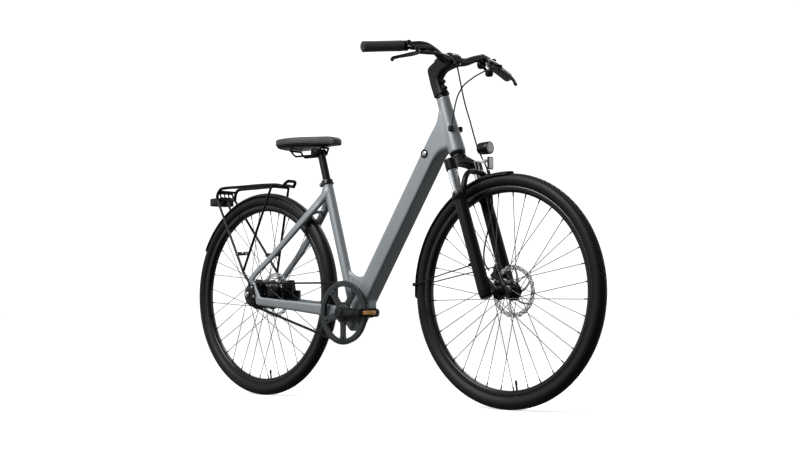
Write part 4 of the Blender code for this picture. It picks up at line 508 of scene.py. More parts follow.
def down_tube_loft():
    """Rounded rectangles between the tube's top line and its lower line, straight, then curved up
    into the head tube; the lower corners are the sharper ones."""
    stations = [
        (on_down_tube(0.25, 0.004), on_down_tube(0.226, 0.034), 0.048, 0.0055),
        (on_down_tube(0.258, -0.008), on_down_tube(0.23, 0.042), 0.057, 0.0055),
        (on_down_tube(0.271, -0.019), on_down_tube(0.242, 0.043), 0.06, 0.0055),
        (on_down_tube(0.35, -0.019), on_down_tube(0.315, 0.043), 0.06, 0.0055),
        (on_down_tube(0.735, -0.019), on_down_tube(0.68, 0.043), 0.06, 0.0055),
        (on_down_tube(0.8, -0.019), on_down_tube(0.735, 0.043), 0.06, 0.006),
        (on_down_tube(0.843, -0.019), on_down_tube(0.762, 0.0445), 0.058, 0.009),
        (on_down_tube(0.884, -0.019), on_down_tube(0.781, 0.053), 0.053, 0.0135),
        (steered(0.622, -0.012), steered(0.481, -0.012), 0.0475, 0.014),
        (steered(0.618, 0.0), steered(0.485, 0.0), 0.043, 0.014)
    ]
    rows = np.array([[*up, *low, width, lower_corner] for up, low, width, lower_corner in stations])
    share = np.linspace(0, 1, 12)[:, None]
    straight = np.concatenate([rows[k] * (1 - share) + rows[k + 1] * share for k in range(4)])
    rows = np.concatenate([straight[:-1], smooth_line(rows[4:], 6)])
    return between(rows[:, :3], rows[:, 3:6], rows[:, 6], 0.017, 8, rows[:, 7])


SEAT_FACE = 0.017
DOWN_FACE = 0.019
WEB_TOP = 0.406
WEB_HALF = 0.005
WEB_WIDEST = 0.022
WEB_GROWTH = 0.15


def web_loft():
    """The valley's web: from the seat tube to the down tube its top edge follows the arc that
    touches both tubes, and its thickness grows forwards; the top edge is half round."""
    seat_out = np.array((sin(SEAT_ANGLE), cos(SEAT_ANGLE)))
    down_up = np.array((-sin(DOWN_ANGLE), cos(DOWN_ANGLE)))
    apex = BRACKET[[0, 2]]
    lines = np.array([[*seat_out, -1.0], [*down_up, -1.0], [0, 1, -1.0]])
    right_hand = np.array([seat_out @ apex + SEAT_FACE, down_up @ apex + DOWN_FACE, WEB_TOP])
    x, z, radius = np.linalg.solve(lines, right_hand)
    start = np.arctan2(-seat_out[1], -seat_out[0]) + 2 * pi
    end = np.arctan2(-down_up[1], -down_up[0]) + 2 * pi
    turn = np.linspace(start - 0.25, end + 0.25, 40)
    edge_x = x + radius * np.cos(turn)
    edge_z = z + radius * np.sin(turn)
    half = WEB_HALF + WEB_GROWTH * np.maximum(edge_x - on_seat_tube(WEB_TOP)[0] - SEAT_FACE, 0)
    half = np.minimum(half, WEB_WIDEST)
    round_edge = np.linspace(0, pi, 10)
    across = np.concatenate([[1], np.cos(round_edge), [-1]])
    lift = np.concatenate([[0], np.sin(round_edge), [0]])
    rings = np.empty((40, 12, 3))
    rings[..., 0] = edge_x[:, None]
    rings[..., 1] = half[:, None] * across
    rings[..., 2] = edge_z[:, None] - half[:, None] + half[:, None] * lift
    rings[:, [0, -1], 2] = np.minimum(edge_z - 0.03, 0.3)[:, None]
    return skinned(rings)


def mirrored(rows, side):
    """Rows whose second column is put on one side of the bike."""
    rows = np.array(rows, float)
    rows[:, 1] *= side
    return rows


CHAIN_STAY = (
    (-0.0965, 0.024, 0.2875, 0.038, 0.016), (-0.15, 0.0295, 0.2918, 0.037, 0.014),
    (-0.2, 0.036, 0.2965, 0.036, 0.013), (-0.3, 0.05, 0.3075, 0.032, 0.014),
    (-0.4, 0.063, 0.318, 0.029, 0.012), (-0.478, 0.0735, 0.3265, 0.028, 0.01),
    (-0.496, 0.0735, 0.3285, 0.026, 0.01)
)
SEAT_STAY = (
    (*on_seat_tube(0.718, 0.002, 0.006), 0.016, 0.012),
    (*on_seat_tube(0.702, 0.006, 0.0098), 0.025, 0.017),
    (*on_seat_tube(0.685, 0.012, 0.0125), 0.028, 0.017), (-0.242, 0.0175, 0.662, 0.029, 0.016),
    (-0.27, 0.029, 0.631, 0.027, 0.015), (-0.3319, 0.044, 0.572, 0.025, 0.014),
    (-0.4339, 0.06, 0.481, 0.022, 0.012), (-0.496, 0.0695, 0.432, 0.021, 0.011),
    (-0.523, 0.0735, 0.406, 0.023, 0.01), (-0.526, 0.0735, 0.395, 0.024, 0.01)
)
YOKE = ((-0.482, 0.0735, 0.323, 0.027), (-0.506, 0.0735, 0.365, 0.026), (-0.528, 0.0735, 0.403, 0.024))


def stay(rows, side):
    """A stay: rounded rectangles on a smooth path, tall in its own plane and thin across it."""
    rows = smooth_line(mirrored(rows, side), 6)
    return bar(rows[:, :3], (0, 1, 0), rows[:, 4] * 1.05, rows[:, 3] * 1.1, rows[:, 4] * 0.42)


frame_shapes = [down_tube_loft(), web_loft()]
frame_shapes.append(turned([
    (0.465, 0.015), (0.465, 0.0262), (0.468, 0.0268), (0.485, 0.0262), (0.56, 0.0232), (0.64, 0.0213),
    (0.649, 0.0216), (0.652, 0.0212), (0.652, 0.015)
], steered(0, 0), STEER_UP, 64))
frame_shapes.append(turned([
    (-0.034, 0.012), (-0.034, 0.0212), (-0.0325, 0.0218), (0.0325, 0.0218), (0.034, 0.0212),
    (0.034, 0.012)
], BRACKET, SIDE, 64))
frame_shapes.append(rod([
    BRACKET + 0.004 * SEAT_UP, on_seat_tube(0.5), on_seat_tube(0.73), on_seat_tube(0.731)
], (0.0172, 0.0172, 0.0172, 0.0166), around=48))
frame_shapes.append(rod([(-0.269, -0.02, 0.629), (-0.269, 0.02, 0.629)], 0.0065, (0, 0, 1)))
for side in (RIGHT, LEFT):
    frame_shapes.append(stay(CHAIN_STAY, side))
    frame_shapes.append(stay(SEAT_STAY, side))
    yoke = smooth_line(mirrored(YOKE, side), 8)
    frame_shapes.append(bar(yoke[:, :3], (0, 1, 0), 0.0102, yoke[:, 3], 0.0042))
FRAME_NODES = [
    "down_tube", "seat_tube",
    *(kind + name for kind in ("chain_stay_", "seat_stay_") for _, name in SIDES)
]
FRAME_VOXEL = 0.0024
FRAME_ROUNDS = 20
finish_piece(
    "welded_frame", welded("welded_frame", frame_shapes, FRAME_VOXEL, FRAME_ROUNDS), grey_paint, "frame",
    FRAME_NODES, 80
)


# Rear ends. Black plates let into the yokes, each held by two bright bolts, carry the motor's axle,
# which a nut holds on each side.
black_paint = speckled(
    "black_powder_paint", "black_metal", (5, 5, 6), (11, 12, 12), 0.36, 0.1, 14, 1100, 0.08,
    Specular_IOR_Level=0.17
)
steel = speckled(
    "brushed_steel", "bright_steel", (168, 170, 173), (205, 207, 210), 0.3, 0.16, 60, 1800, 0.05,
    Metallic=1.0
)


def bolt(seat, axis, radius, height=0.003):
    """A cap screw's head with its hollow for the key, standing on its seat."""
    rows = [
        (-0.0005, radius), (height * 0.75, radius), (height, radius * 0.86), (height, radius * 0.52),
        (height * 0.35, radius * 0.48), (height * 0.35, radius * 0.1)
    ]
    return turned(rows, seat, axis, 18)


def flat_plate(outlines, thick, edge, way_x, way_y, origin):
    """A plate cut from outlines in its own plane: inner outlines are holes, and edges are softened."""
    curve = bpy.data.curves.new("cut", "CURVE")
    curve.dimensions = "2D"
    curve.fill_mode = "BOTH"
    curve.extrude = thick / 2 - edge
    curve.bevel_depth = edge
    curve.bevel_resolution = 1
    curve.offset = -edge
    for outline in outlines:
        outline = np.asarray(outline, float)
        spline = curve.splines.new("POLY")
        spline.points.add(len(outline) - 1)
        spline.points.foreach_set(
            "co", np.column_stack([outline, np.zeros(len(outline)), np.ones(len(outline))]).ravel()
        )
        spline.use_cyclic_u = True
    holder = bpy.data.objects.new("cut", curve)
    bpy.context.scene.collection.objects.link(holder)
    bpy.context.view_layer.update()
    mesh = bpy.data.meshes.new_from_object(holder.evaluated_get(bpy.context.evaluated_depsgraph_get()))
    flat = np.empty(len(mesh.vertices) * 3)
    mesh.vertices.foreach_get("co", flat)
    mesh.calc_loop_triangles()
    corners = np.empty(len(mesh.loop_triangles) * 3, int)
    mesh.loop_triangles.foreach_get("vertices", corners)
    bpy.data.objects.remove(holder)
    bpy.data.curves.remove(curve)
    bpy.data.meshes.remove(mesh)
    flat = flat.reshape(-1, 3)
    way_x, way_y = (unit(np.asarray(way, float)) for way in (way_x, way_y))
    way_z = np.cross(way_x, way_y)
    points = np.asarray(origin, float) + flat[:, :1] * way_x + flat[:, 1:2] * way_y + flat[:, 2:] * way_z
    return points, [corners.reshape(-1, 3)]


def polar(radius, turn):
    """Flat points at the given radii and turns, in radians."""
    return np.stack([radius * np.cos(turn), radius * np.sin(turn)], -1)


def circle(radius, count):
    """A round outline about the plane's origin."""
    return polar(radius, np.arange(count) / count * 2 * pi)


def bolt_circle(centre, side, reach, count, radius, height, start=0.0):
    """Bolt heads evenly round a point in the wheels' plane, facing one side of the bike."""
    turns = [start + k * 2 * pi / count for k in range(count)]
    return [
        bolt(centre + (reach * cos(turn), 0, reach * sin(turn)), (0, side, 0), radius, height)
        for turn in turns
    ]


def refinished(node, finish):
    """A CAD node that shows as it is, with its own finish."""
    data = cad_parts[node].data
    data.materials.clear()
    data.materials.append(finish.material)


WHEEL_PLANE = ((1, 0, 0), (0, 0, 1))
AXLE_EYE = 0.0172
INSERT_Y = 0.0737
INSERT_EDGE = np.array((
    (0.032, -0.021), (0.041, -0.017), (0.042, -0.003), (0.031, 0.034), (0.024, 0.036), (0.017, 0.032)
))
for side, name in SIDES:
    eye = polar(AXLE_EYE, np.radians(np.linspace(70, 290, 30)))
    insert = flat_plate(
        [np.concatenate([eye, INSERT_EDGE]), circle(0.0062, 32)], 0.0128, 0.0006, *WHEEL_PLANE,
        REAR_AXLE + (0, side * INSERT_Y, 0)
    )
    make_piece("rear_end_" + name, insert, black_paint, "frame", crease=30)
    screws = [
        bolt((x, side * 0.0801, z), (0, side, 0), 0.004, 0.0024)
        for x, z in ((-0.505, 0.344), (-0.515, 0.376))
    ]
    make_piece("rear_end_bolts_" + name, screws, steel, "frame")
    nut = turned([
        (0.0742, 0.012), (0.0758, 0.012), (0.076, 0.0092), (0.0838, 0.0092), (0.0846, 0.0078),
        (0.0846, 0.006), (0.089, 0.0052), (0.089, 0.001)
    ], REAR_AXLE, (0, side, 0), 30)
    make_piece("rear_axle_nut_" + name, nut, steel, "frame")
refinished("rear_axle", steel)


# Battery cover and lock. The cover is the flat lower face of the down tube, painted like the frame
# and a hair proud of it. The lock's bright barrel sits in a dark ring on the right side.
black_plastic = speckled(
    "black_moulded_plastic", "black_plastic", (7, 7, 8), (14, 15, 15), 0.36, 0.12, 26, 1700, 0.14,
    Specular_IOR_Level=0.2
)


def block(centre, length_way, width_way, size, corner, edge):
    """A box with rounded corners and softened ends: rounded rectangles that shrink at both ends."""
    length, width, height = size
    ahead = unit(np.asarray(length_way, float))
    side = np.asarray(width_way, float)
    side = unit(side - ahead * (side @ ahead))
    up = np.cross(ahead, side)
    turn = np.linspace(0, pi / 2, 4)
    along = length / 2 - edge + edge * np.sin(turn)
    pull = edge * (1 - np.cos(turn))
    along = np.concatenate([-along[::-1], along])
    pull = np.concatenate([pull[::-1], pull])
    outline = rounded(width - 2 * pull, height - 2 * pull, np.maximum(corner - pull, 0.0004))
    middle = np.asarray(centre, float) + along[:, None] * ahead
    return skinned(middle[:, None] + outline[..., :1] * side + outline[..., 1:] * up)


def softened(node, finish, body, bevel):
    """A CAD node's own shape with softened edges: a merged copy, its flat faces whole again."""
    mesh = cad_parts[node].data.copy()
    work = bmesh.new()
    work.from_mesh(mesh)
    bmesh.ops.remove_doubles(work, verts=work.verts, dist=MERGE_DISTANCE)
    bmesh.ops.dissolve_limit(work, angle_limit=radians(1.5), verts=work.verts, edges=work.edges)
    work.to_mesh(mesh)
    work.free()
    return finish_piece(node + "_body", mesh, finish, body, [node], 32, bevel)


cover_middle = (on_down_tube(0.345, 0.0406) + on_down_tube(0.69, 0.0406)) / 2
cover_plate = block(cover_middle, DOWN_UP, SIDE, (0.4136, 0.0474, 0.006), 0.0006, 0.0006)
make_piece("battery_cover_plate", cover_plate, grey_paint, "frame", ["battery_cover"], crease=30)
refinished("battery_pack", black_plastic)
for node in ("bottom_bracket", "headset_lower", "headset_upper"):
    refinished(node, black_paint)
LOCK = np.array((0.2412, -0.03, 0.7836))
lock_ring = turned([
    (-0.001, 0.0138), (0.0016, 0.0138), (0.0024, 0.0128), (0.0024, 0.0088), (0.0004, 0.0084)
], LOCK, (0, -1, 0), 40)
make_piece("lock_ring", lock_ring, black_plastic, "frame")
barrel = turned([(-0.006, 0.008), (0.0014, 0.008), (0.002, 0.0072), (0.002, 0.001)], LOCK, (0, -1, 0), 40)
make_piece("lock_barrel", barrel, steel, "battery_lock", ["battery_lock"])
tilt = radians(30)
slot_way = np.array((sin(tilt), 0, cos(tilt)))
key_slot = block(LOCK + (0, -0.0019, 0), slot_way, (0, 1, 0), (0.009, 0.0008, 0.0016), 0.0003, 0.0003)
make_piece("lock_key_slot", key_slot, black_plastic, "battery_lock")
for _, name in SIDES:
    softened("cable_guide_" + name, black_plastic, "frame", 0.0022)


# Seat clamp. A black anodised aluminium band, turned and split, round the top of the seat tube. One
# bolt through the lobe behind the tube draws it tight.
black_gloss = speckled(
    "black_anodised", "black_metal", (6, 6, 7), (12, 13, 14), 0.25, 0.1, 20, 1400, 0.05,
    Specular_IOR_Level=0.24
)

clamp_top = on_seat_tube(0.731)
band = turned([
    (-0.0135, 0.0173), (-0.0135, 0.02), (-0.0125, 0.0208), (0.001, 0.0208), (0.0022, 0.02),
    (0.0026, 0.0186), (0.0026, 0.014)
], clamp_top, SEAT_UP, 56)
lobe_centre = clamp_top - 0.0238 * np.array((sin(SEAT_ANGLE), 0, cos(SEAT_ANGLE))) - 0.0055 * SEAT_UP
lobe = block(lobe_centre, (0, 1, 0), SEAT_UP, (0.022, 0.0135, 0.012), 0.0045, 0.0015)
make_piece("seat_clamp_band", [band, lobe], black_gloss, "frame", ["seat_clamp"])
clamp_bolt = bolt(lobe_centre + (0, -0.011, 0), (0, -1, 0), 0.004)
make_piece("seat_clamp_bolt", clamp_bolt, steel, "frame")


# Tyres. Black rubber with plain sidewalls and a low tread of small staggered bricks, cut by two
# grooves that run round on each side of the middle.
tyre_rubber = speckled(
    "tyre_rubber", "tyre_rubber", (7, 8, 8), (14, 15, 15), 0.5, 0.12, 18, 1300, 0.22,
    Specular_IOR_Level=0.18
)
WHEELS = (("front", FRONT_AXLE), ("rear", REAR_AXLE))
TREAD_PITCHES = 220
TREAD_DEPTH = 0.0021
TREAD_REACH = 0.0182
GROOVES_AT = np.array((0.0045, 0.0105))
GROOVE_HALF = 0.0006
CUT_SHARE = 0.2
TYRE_HALF = (
    (0.0, 0.351), (0.006, 0.3502), (0.0115, 0.3476), (0.0168, 0.3418), (0.0194, 0.335), (0.0196, 0.329),
    (0.0178, 0.3215), (0.014, 0.3158), (0.0118, 0.3128)
)


def tyre(axle):
    """The half profile evened out and mirrored, carried round the axle; the radius drops by the
    tread's depth in the long grooves and in the short cuts between bricks."""
    line = smooth_line(TYRE_HALF, 12)
    run = np.concatenate([[0], np.cumsum(np.linalg.norm(np.diff(line, axis=0), axis=1))])
    even = np.concatenate([np.arange(0, 0.0205, 0.0009), np.linspace(0.0212, run[-1], 12)])
    half = np.stack([np.interp(even, run, line[:, k]) for k in (0, 1)], -1)
    profile = np.concatenate([half[::-1] * (-1, 1), half[1:]])
    reach = np.concatenate([even[::-1], even[1:]])[:, None]
    steps = np.arange(TREAD_PITCHES * 4)
    phase = (steps / 4)[None, :]
    row = np.digitize(reach, (0.0042, 0.01, TREAD_REACH))
    long_groove = (np.abs(reach - GROOVES_AT) < GROOVE_HALF).any(1, keepdims=True)
    cut = (phase + 0.5 * (row % 2)) % 1 < CUT_SHARE
    cut &= (row == 1) | (row == 2) | ((row == 0) & (phase % 2 < CUT_SHARE))
    depth = TREAD_DEPTH * (long_groove | cut) * (reach < TREAD_REACH)
    turn = steps / len(steps) * 2 * pi
    radius = profile[:, 1:] - depth
    rings = np.stack([
        axle[0] + radius * np.cos(turn), np.broadcast_to(profile[:, :1], radius.shape),
        axle[2] + radius * np.sin(turn)
    ], -1)
    return skinned(rings, closed=True)


for name, axle in WHEELS:
    make_piece(name + "_tread", tyre(axle), tyre_rubber, name + "_wheel", [name + "_tyre"], crease=50)


# Rims. Black box-section aluminium, with a thin paler ring at each lip that is a painted highlight
# of the glossy edge; the valve stands on the inner face.
# Dark steel for the spokes; the rims' painted highlight rings are drawn in it too.
spoke_steel_and_rim_sheen = speckled(
    "dark_spoke_steel_and_rim_sheen", "bright_steel", (58, 60, 62), (88, 90, 92), 0.34, 0.12, 80, 1800, 0.03,
    Metallic=0.9
)

RIM_PROFILE = (
    (-0.0122, 0.3126), (-0.0125, 0.312), (-0.0125, 0.304), (-0.0118, 0.299), (-0.0095, 0.2955),
    (-0.006, 0.294), (0.006, 0.294), (0.0095, 0.2955), (0.0118, 0.299), (0.0125, 0.304), (0.0125, 0.312),
    (0.0122, 0.3126)
)
RIM_HIGHLIGHT_RING = np.array(((0.01235, 0.3108), (0.01275, 0.3108), (0.01275, 0.312), (0.01235, 0.3126)))
VALVE_WAY = np.array((cos(radians(-83)), 0, sin(radians(-83))))
VALVE_REACH = np.array((0.295, 0.293, 0.278, 0.2775, 0.265, 0.2645))
VALVE_RADII = (0.0046, 0.0032, 0.003, 0.0036, 0.0036, 0.0024)
for name, axle in WHEELS:
    body = name + "_wheel"
    rim = turned(RIM_PROFILE, axle, SIDE, 200, closed=True)
    make_piece(name + "_rim_hoop", rim, black_gloss, body, [name + "_rim"], crease=40)
    # The paler rings at each lip are a painted highlight of the glossy edge, not a turned surface.
    lines = [turned(RIM_HIGHLIGHT_RING * (side, 1), axle, SIDE, 200, closed=True) for side in (RIGHT, LEFT)]
    make_piece(name + "_rim_highlight_rings", lines, spoke_steel_and_rim_sheen, body)
    valve = rod(axle + VALVE_WAY * VALVE_REACH[:, None], VALVE_RADII, around=14)
    make_piece(name + "_valve", valve, black_plastic, body)


# Spokes. Thirty-six steel wires a wheel, crossed, eighteen to each flange. Each is hooked into its
# flange by a head and screwed into a black nipple in the rim.
SPOKES_A_SIDE = 18
SPOKE_LACING = radians(66)
SPOKE_RADIUS = 0.00115
SPOKE_END = 0.2952
HOLE_INSET = 0.003
FLANGE_FACE = 0.0018
RIM_STAGGER = 0.002
NIPPLE_RADIUS = 0.0021


def spoke_lines(axle, flange_radius, flanges):
    """Start and end of every spoke: even angles at the rim, led or trailing angles at the flange,
    each start just inside the flange's edge and on one of its two faces."""
    count = np.arange(SPOKES_A_SIDE)
    lean = np.where(count % 2, 1, -1)
    lines = []
    for flange, side in zip(flanges, (RIGHT, LEFT)):
        at_rim = 2 * pi * (count + 0.25 * side) / SPOKES_A_SIDE
        at_hub = at_rim + lean * SPOKE_LACING
        hole = flange_radius - HOLE_INSET
        hub = np.stack([np.cos(at_hub) * hole, flange + lean * FLANGE_FACE, np.sin(at_hub) * hole], -1)
        rim_y = np.full(SPOKES_A_SIDE, side * RIM_STAGGER)
        rim = np.stack([np.cos(at_rim) * SPOKE_END, rim_y, np.sin(at_rim) * SPOKE_END], -1)
        lines.append(np.stack([hub, rim], 1) + axle)
    return np.concatenate(lines)


for name, axle, *flanges in (
    ("front", FRONT_AXLE, 0.027, (-0.034, 0.022)), ("rear", REAR_AXLE, 0.052, (-0.03, 0.036))
):
    ends = [(a, b, unit(b - a)) for a, b in spoke_lines(axle, *flanges)]
    share = np.array((0.0, 0.5, 0.965))[:, None]
    spokes = [rod(a + share * (b - a), SPOKE_RADIUS, (0, 1, 0), 8) for a, b, way in ends]
    heads = [rod([a - 0.0008 * way, a + 0.003 * way], 0.0019, (0, 1, 0), 8) for a, b, way in ends]
    make_piece(name + "_spokes", spokes + heads, spoke_steel_and_rim_sheen, name + "_wheel", crease=60)
    depth = np.array((0.0135, 0.013, 0.004, 0.0))[:, None]
    radii = (0.0015, NIPPLE_RADIUS, NIPPLE_RADIUS, 0.0029)
    nipples = [rod(b - way * depth, radii, around=8) for a, b, way in ends]
    make_piece(name + "_nipples", nipples, black_gloss, name + "_wheel", crease=60)


# Rotors. Stainless steel brake discs, cut flat: a wavy outer edge, a drilled track, and six arms that
# lean in to the hub, where six black bolts hold each disc.
ROTOR_RADIUS = 0.0797
ROTOR_WAVE = 0.0011
ROTOR_THICK = 0.0018
ROTOR_EYE = 0.0215
ROTOR_ARMS = 6
ARM_START = 0.0295
ARM_END = 0.063
ARM_HALF = 0.0036
ARM_LEAN = 0.42
DRILLED_AT = ((0.0672, 0.0), (0.0712, 0.33), (0.0752, 0.66))


def rotor_outlines():
    """The edge, the windows between the arms, and three staggered rings of holes."""
    turn = np.linspace(0, 2 * pi, 180, endpoint=False)
    outlines = [
        polar(ROTOR_RADIUS - ROTOR_WAVE + ROTOR_WAVE * np.cos(20 * turn), turn), circle(ROTOR_EYE, 36)
    ]
    reach = np.linspace(ARM_START, ARM_END, 8)
    lean = ARM_LEAN * (reach - ARM_START) / (ARM_END - ARM_START)
    for arm in range(ROTOR_ARMS):
        base = arm * 2 * pi / ROTOR_ARMS
        up = base + lean + ARM_HALF / reach
        down = (base + 2 * pi / ROTOR_ARMS + lean - ARM_HALF / reach)[::-1]
        over = np.linspace(up[-1], down[0], 12)[1:-1]
        under = np.linspace(down[-1], up[0], 6)[1:-1]
        radii = np.concatenate([reach, np.full(10, 0.0645), reach[::-1], np.full(4, 0.028)])
        outlines.append(polar(radii, np.concatenate([up, over, down, under])))
    for k in range(24):
        for radius, shift in DRILLED_AT:
            outlines.append(polar(radius, (k + shift) * 2 * pi / 24) + circle(0.0019, 10))
    return outlines


for name, axle, rotor_y in (("front", FRONT_AXLE, 0.0347), ("rear", REAR_AXLE, 0.0522)):
    disc = flat_plate(rotor_outlines(), ROTOR_THICK, 0.0002, *WHEEL_PLANE, axle + (0, rotor_y, 0))
    make_piece(name + "_brake_disc", disc, steel, name + "_wheel", [name + "_rotor"], crease=30)
    disc_bolts = bolt_circle(axle + (0, rotor_y + 0.0009, 0), LEFT, 0.0248, 6, 0.0031, 0.0022)
    make_piece(name + "_disc_bolts", disc_bolts, black_gloss, name + "_wheel")


# Hubs. Both are turned from aluminium and black. The front one is a slim shell with two flanges;
# the rear one is the motor, a wide drum with a bright line on its right cover.
front_shell = turned([
    (-0.0465, 0.005), (-0.0465, 0.009), (-0.0455, 0.0105), (-0.04, 0.0125), (-0.0385, 0.015),
    (-0.0362, 0.0165), (-0.036, 0.0262), (-0.0352, 0.027), (-0.0328, 0.027), (-0.032, 0.0262),
    (-0.0316, 0.019), (-0.029, 0.0168), (0.017, 0.0168), (0.0196, 0.019), (0.02, 0.0262), (0.0208, 0.027),
    (0.0232, 0.027), (0.024, 0.0262), (0.0244, 0.02), (0.0335, 0.02), (0.0335, 0.0285), (0.0356, 0.0285),
    (0.0362, 0.0205), (0.04, 0.015), (0.0455, 0.011), (0.0465, 0.0095), (0.0465, 0.005)
], FRONT_AXLE, SIDE, 56)
make_piece("front_hub_shell", front_shell, black_gloss, "front_wheel", ["front_hub"], crease=35)
front_axle_bar = turned([
    (-0.0697, 0.001), (-0.0697, 0.0062), (-0.0685, 0.0072), (-0.0597, 0.0075), (-0.0595, 0.0046),
    (0.0595, 0.0046), (0.0597, 0.0085), (0.064, 0.0088), (0.068, 0.007), (0.0697, 0.004), (0.0697, 0.001)
], FRONT_AXLE, SIDE, 36)
make_piece("front_through_axle", front_axle_bar, black_gloss, "fork_lowers", ["front_axle"], crease=35)
motor_shell = turned([
    (-0.0425, 0.008), (-0.0425, 0.021), (-0.0415, 0.0225), (-0.0385, 0.029), (-0.036, 0.033),
    (-0.0335, 0.044), (-0.0325, 0.048), (-0.0322, 0.0514), (-0.0314, 0.052), (-0.0286, 0.052),
    (-0.0278, 0.0512), (-0.0272, 0.0486), (-0.018, 0.0486), (-0.0174, 0.0478), (-0.016, 0.0478),
    (-0.0154, 0.0486), (0.015, 0.0486), (0.0156, 0.0478), (0.017, 0.0478), (0.0176, 0.0486),
    (0.0332, 0.0486), (0.0338, 0.0512), (0.0346, 0.052), (0.0374, 0.052), (0.0382, 0.0512),
    (0.0388, 0.047), (0.0425, 0.04), (0.044, 0.034), (0.05, 0.03), (0.0508, 0.029), (0.0508, 0.015),
    (0.058, 0.014), (0.058, 0.008)
], REAR_AXLE, SIDE, 80)
make_piece("motor_shell", motor_shell, black_gloss, "rear_wheel", ["hub_motor"], crease=35)
motor_line = turned([
    (-0.0388, 0.029), (-0.0394, 0.0293), (-0.0388, 0.031), (-0.0378, 0.0308)
], REAR_AXLE, SIDE, 80, closed=True)
make_piece("motor_cover_line", motor_line, steel, "rear_wheel")
cover_bolts = bolt_circle(REAR_AXLE + (0, -0.035, 0), RIGHT, 0.0385, 6, 0.0026, 0.0026)
make_piece("motor_cover_bolts", cover_bolts, steel, "rear_wheel")


# Belt. A black toothed rubber belt in one piece; its teeth show inside on the two straight runs, and
# where it wraps a sprocket they are in the sprocket's gaps.
RING_WRAP = 0.0973
SPROCKET_WRAP = 0.0378
BELT_THICK = 0.0035
BELT_HALF = 0.006
BELT_Y = -0.05
BELT_TOOTH = 0.0026
BELT_PITCH = 0.011
TEETH_FROM = 0.008


def belt():
    """Round the front sprocket, back along the top, round the rear one and forwards underneath:
    the common outer tangents join two arcs, and the inner face swells inwards into teeth."""
    front, rear = BRACKET[[0, 2]], REAR_AXLE[[0, 2]]
    gap = front - rear
    base = np.arctan2(gap[1], gap[0])
    fall = np.arccos((SPROCKET_WRAP - RING_WRAP) / np.linalg.norm(gap))
    front_turn = np.linspace(base - fall, base + fall, 70)
    rear_turn = np.linspace(base + fall, base + 2 * pi - fall, 40)
    arcs = [
        np.column_stack([centre + polar(radius, turn), turn, 0 * turn])
        for centre, radius, turn in ((front, RING_WRAP, front_turn), (rear, SPROCKET_WRAP, rear_turn))
    ]
    runs = []
    for start, end in ((arcs[0][-1], arcs[1][0]), (arcs[1][-1], arcs[0][0] + (0, 0, 2 * pi, 0))):
        length = np.linalg.norm(end[:2] - start[:2])
        along = np.linspace(0, 1, int(length / BELT_PITCH * 8))[1:-1, None]
        run = start + along * (end - start)
        inside = np.minimum(along, 1 - along)[:, 0] * length > TEETH_FROM
        run[:, 3] = inside * np.clip(0.5 + 1.6 * np.cos(along[:, 0] * length / BELT_PITCH * 2 * pi), 0, 1)
        runs.append(run)
    rows = np.concatenate([arcs[0], runs[0], arcs[1], runs[1]])
    out = polar(1, rows[:, 2])
    across = np.array((-1, -0.9, 0.9, 1, 1, 0.9, -0.9, -1)) * BELT_HALF
    rise = np.array((0.8, 1, 1, 0.8, 0.1, 0, 0, 0.1)) * BELT_THICK
    low = np.array((0, 0, 0, 0, 1, 1, 1, 1)) * BELT_TOOTH
    lift = rise - low * rows[:, 3:]
    rings = np.stack([
        rows[:, :1] + lift * out[:, :1], np.broadcast_to(BELT_Y + across, lift.shape),
        rows[:, 1:2] + lift * out[:, 1:]
    ], -1)
    return skinned(rings, closed=True)


make_piece("toothed_belt", belt(), tyre_rubber, "frame", ["drive_belt"], crease=40)


# Front sprocket. A black toothed ring behind a satin graphite guard ring, both cut from aluminium
# plate. They are bolted to a spider of five arms, whose cone sits on the spindle.
def cut_corners(outline, rounds):
    """A closed outline whose corners are cut, round after round, at a quarter of each side."""
    for _ in range(rounds):
        after = np.roll(outline, -1, axis=0)
        outline = np.stack([
            0.75 * outline + 0.25 * after, 0.25 * outline + 0.75 * after
        ], 1).reshape(-1, 2)
    return outline


def toothed(teeth, tip, root):
    """A ring's outline with straight-sided teeth: tip, tip, root, root for each."""
    step = 2 * pi / teeth
    angles = (np.arange(teeth)[:, None] + np.array((-0.17, 0.17, 0.31, 0.69))) * step
    radii = np.broadcast_to((tip, tip, root, root), angles.shape)
    return polar(radii, angles).reshape(-1, 2)


RING_TEETH = 58
SPROCKET_TEETH = 22
TOOTH_WIDTH = 0.0118
SPIDER_ARMS = 5
ring_teeth = flat_plate(
    [toothed(RING_TEETH, 0.097, 0.0942), circle(0.089, 90)], TOOTH_WIDTH, 0.0004, *WHEEL_PLANE,
    BRACKET + (0, BELT_Y, 0)
)
make_piece("belt_ring", ring_teeth, black_gloss, "cranks", ["chainring"], crease=30)
ring_grey = speckled(
    "graphite_anodised", "black_metal", (29, 33, 35), (40, 44, 46), 0.38, 0.1, 18, 1300, 0.06,
    Metallic=0.25, Specular_IOR_Level=0.3
)
guard_ring = flat_plate(
    [circle(0.1043, 120), circle(0.088, 100)], 0.0026, 0.0008, *WHEEL_PLANE, BRACKET + (0, -0.0573, 0)
)
make_piece("ring_guard", guard_ring, ring_grey, "cranks", crease=50)
windows = []
for arm in range(SPIDER_ARMS):
    first = -pi / 2 + arm * 2 * pi / SPIDER_ARMS
    second = first + 2 * pi / SPIDER_ARMS
    over = np.linspace(first + 0.135, second - 0.135, 12)
    under = np.linspace(second - 0.34, first + 0.34, 5)
    radii = np.concatenate([np.full(12, 0.085), np.full(5, 0.035)])
    windows.append(cut_corners(polar(radii, np.concatenate([over, under])), 3))
spider = flat_plate(
    [circle(0.0895, 100), circle(0.012, 30), *windows], 0.005, 0.0009, *WHEEL_PLANE,
    BRACKET + (0, -0.0562, 0)
)
hub_cone = turned([
    (0.044, 0.012), (0.044, 0.02), (0.053, 0.029), (0.058, 0.03), (0.06, 0.026), (0.0615, 0.019),
    (0.0615, 0.012)
], BRACKET, (0, -1, 0), 48)
make_piece("ring_spider", [spider, hub_cone], ring_grey, "cranks", crease=40)
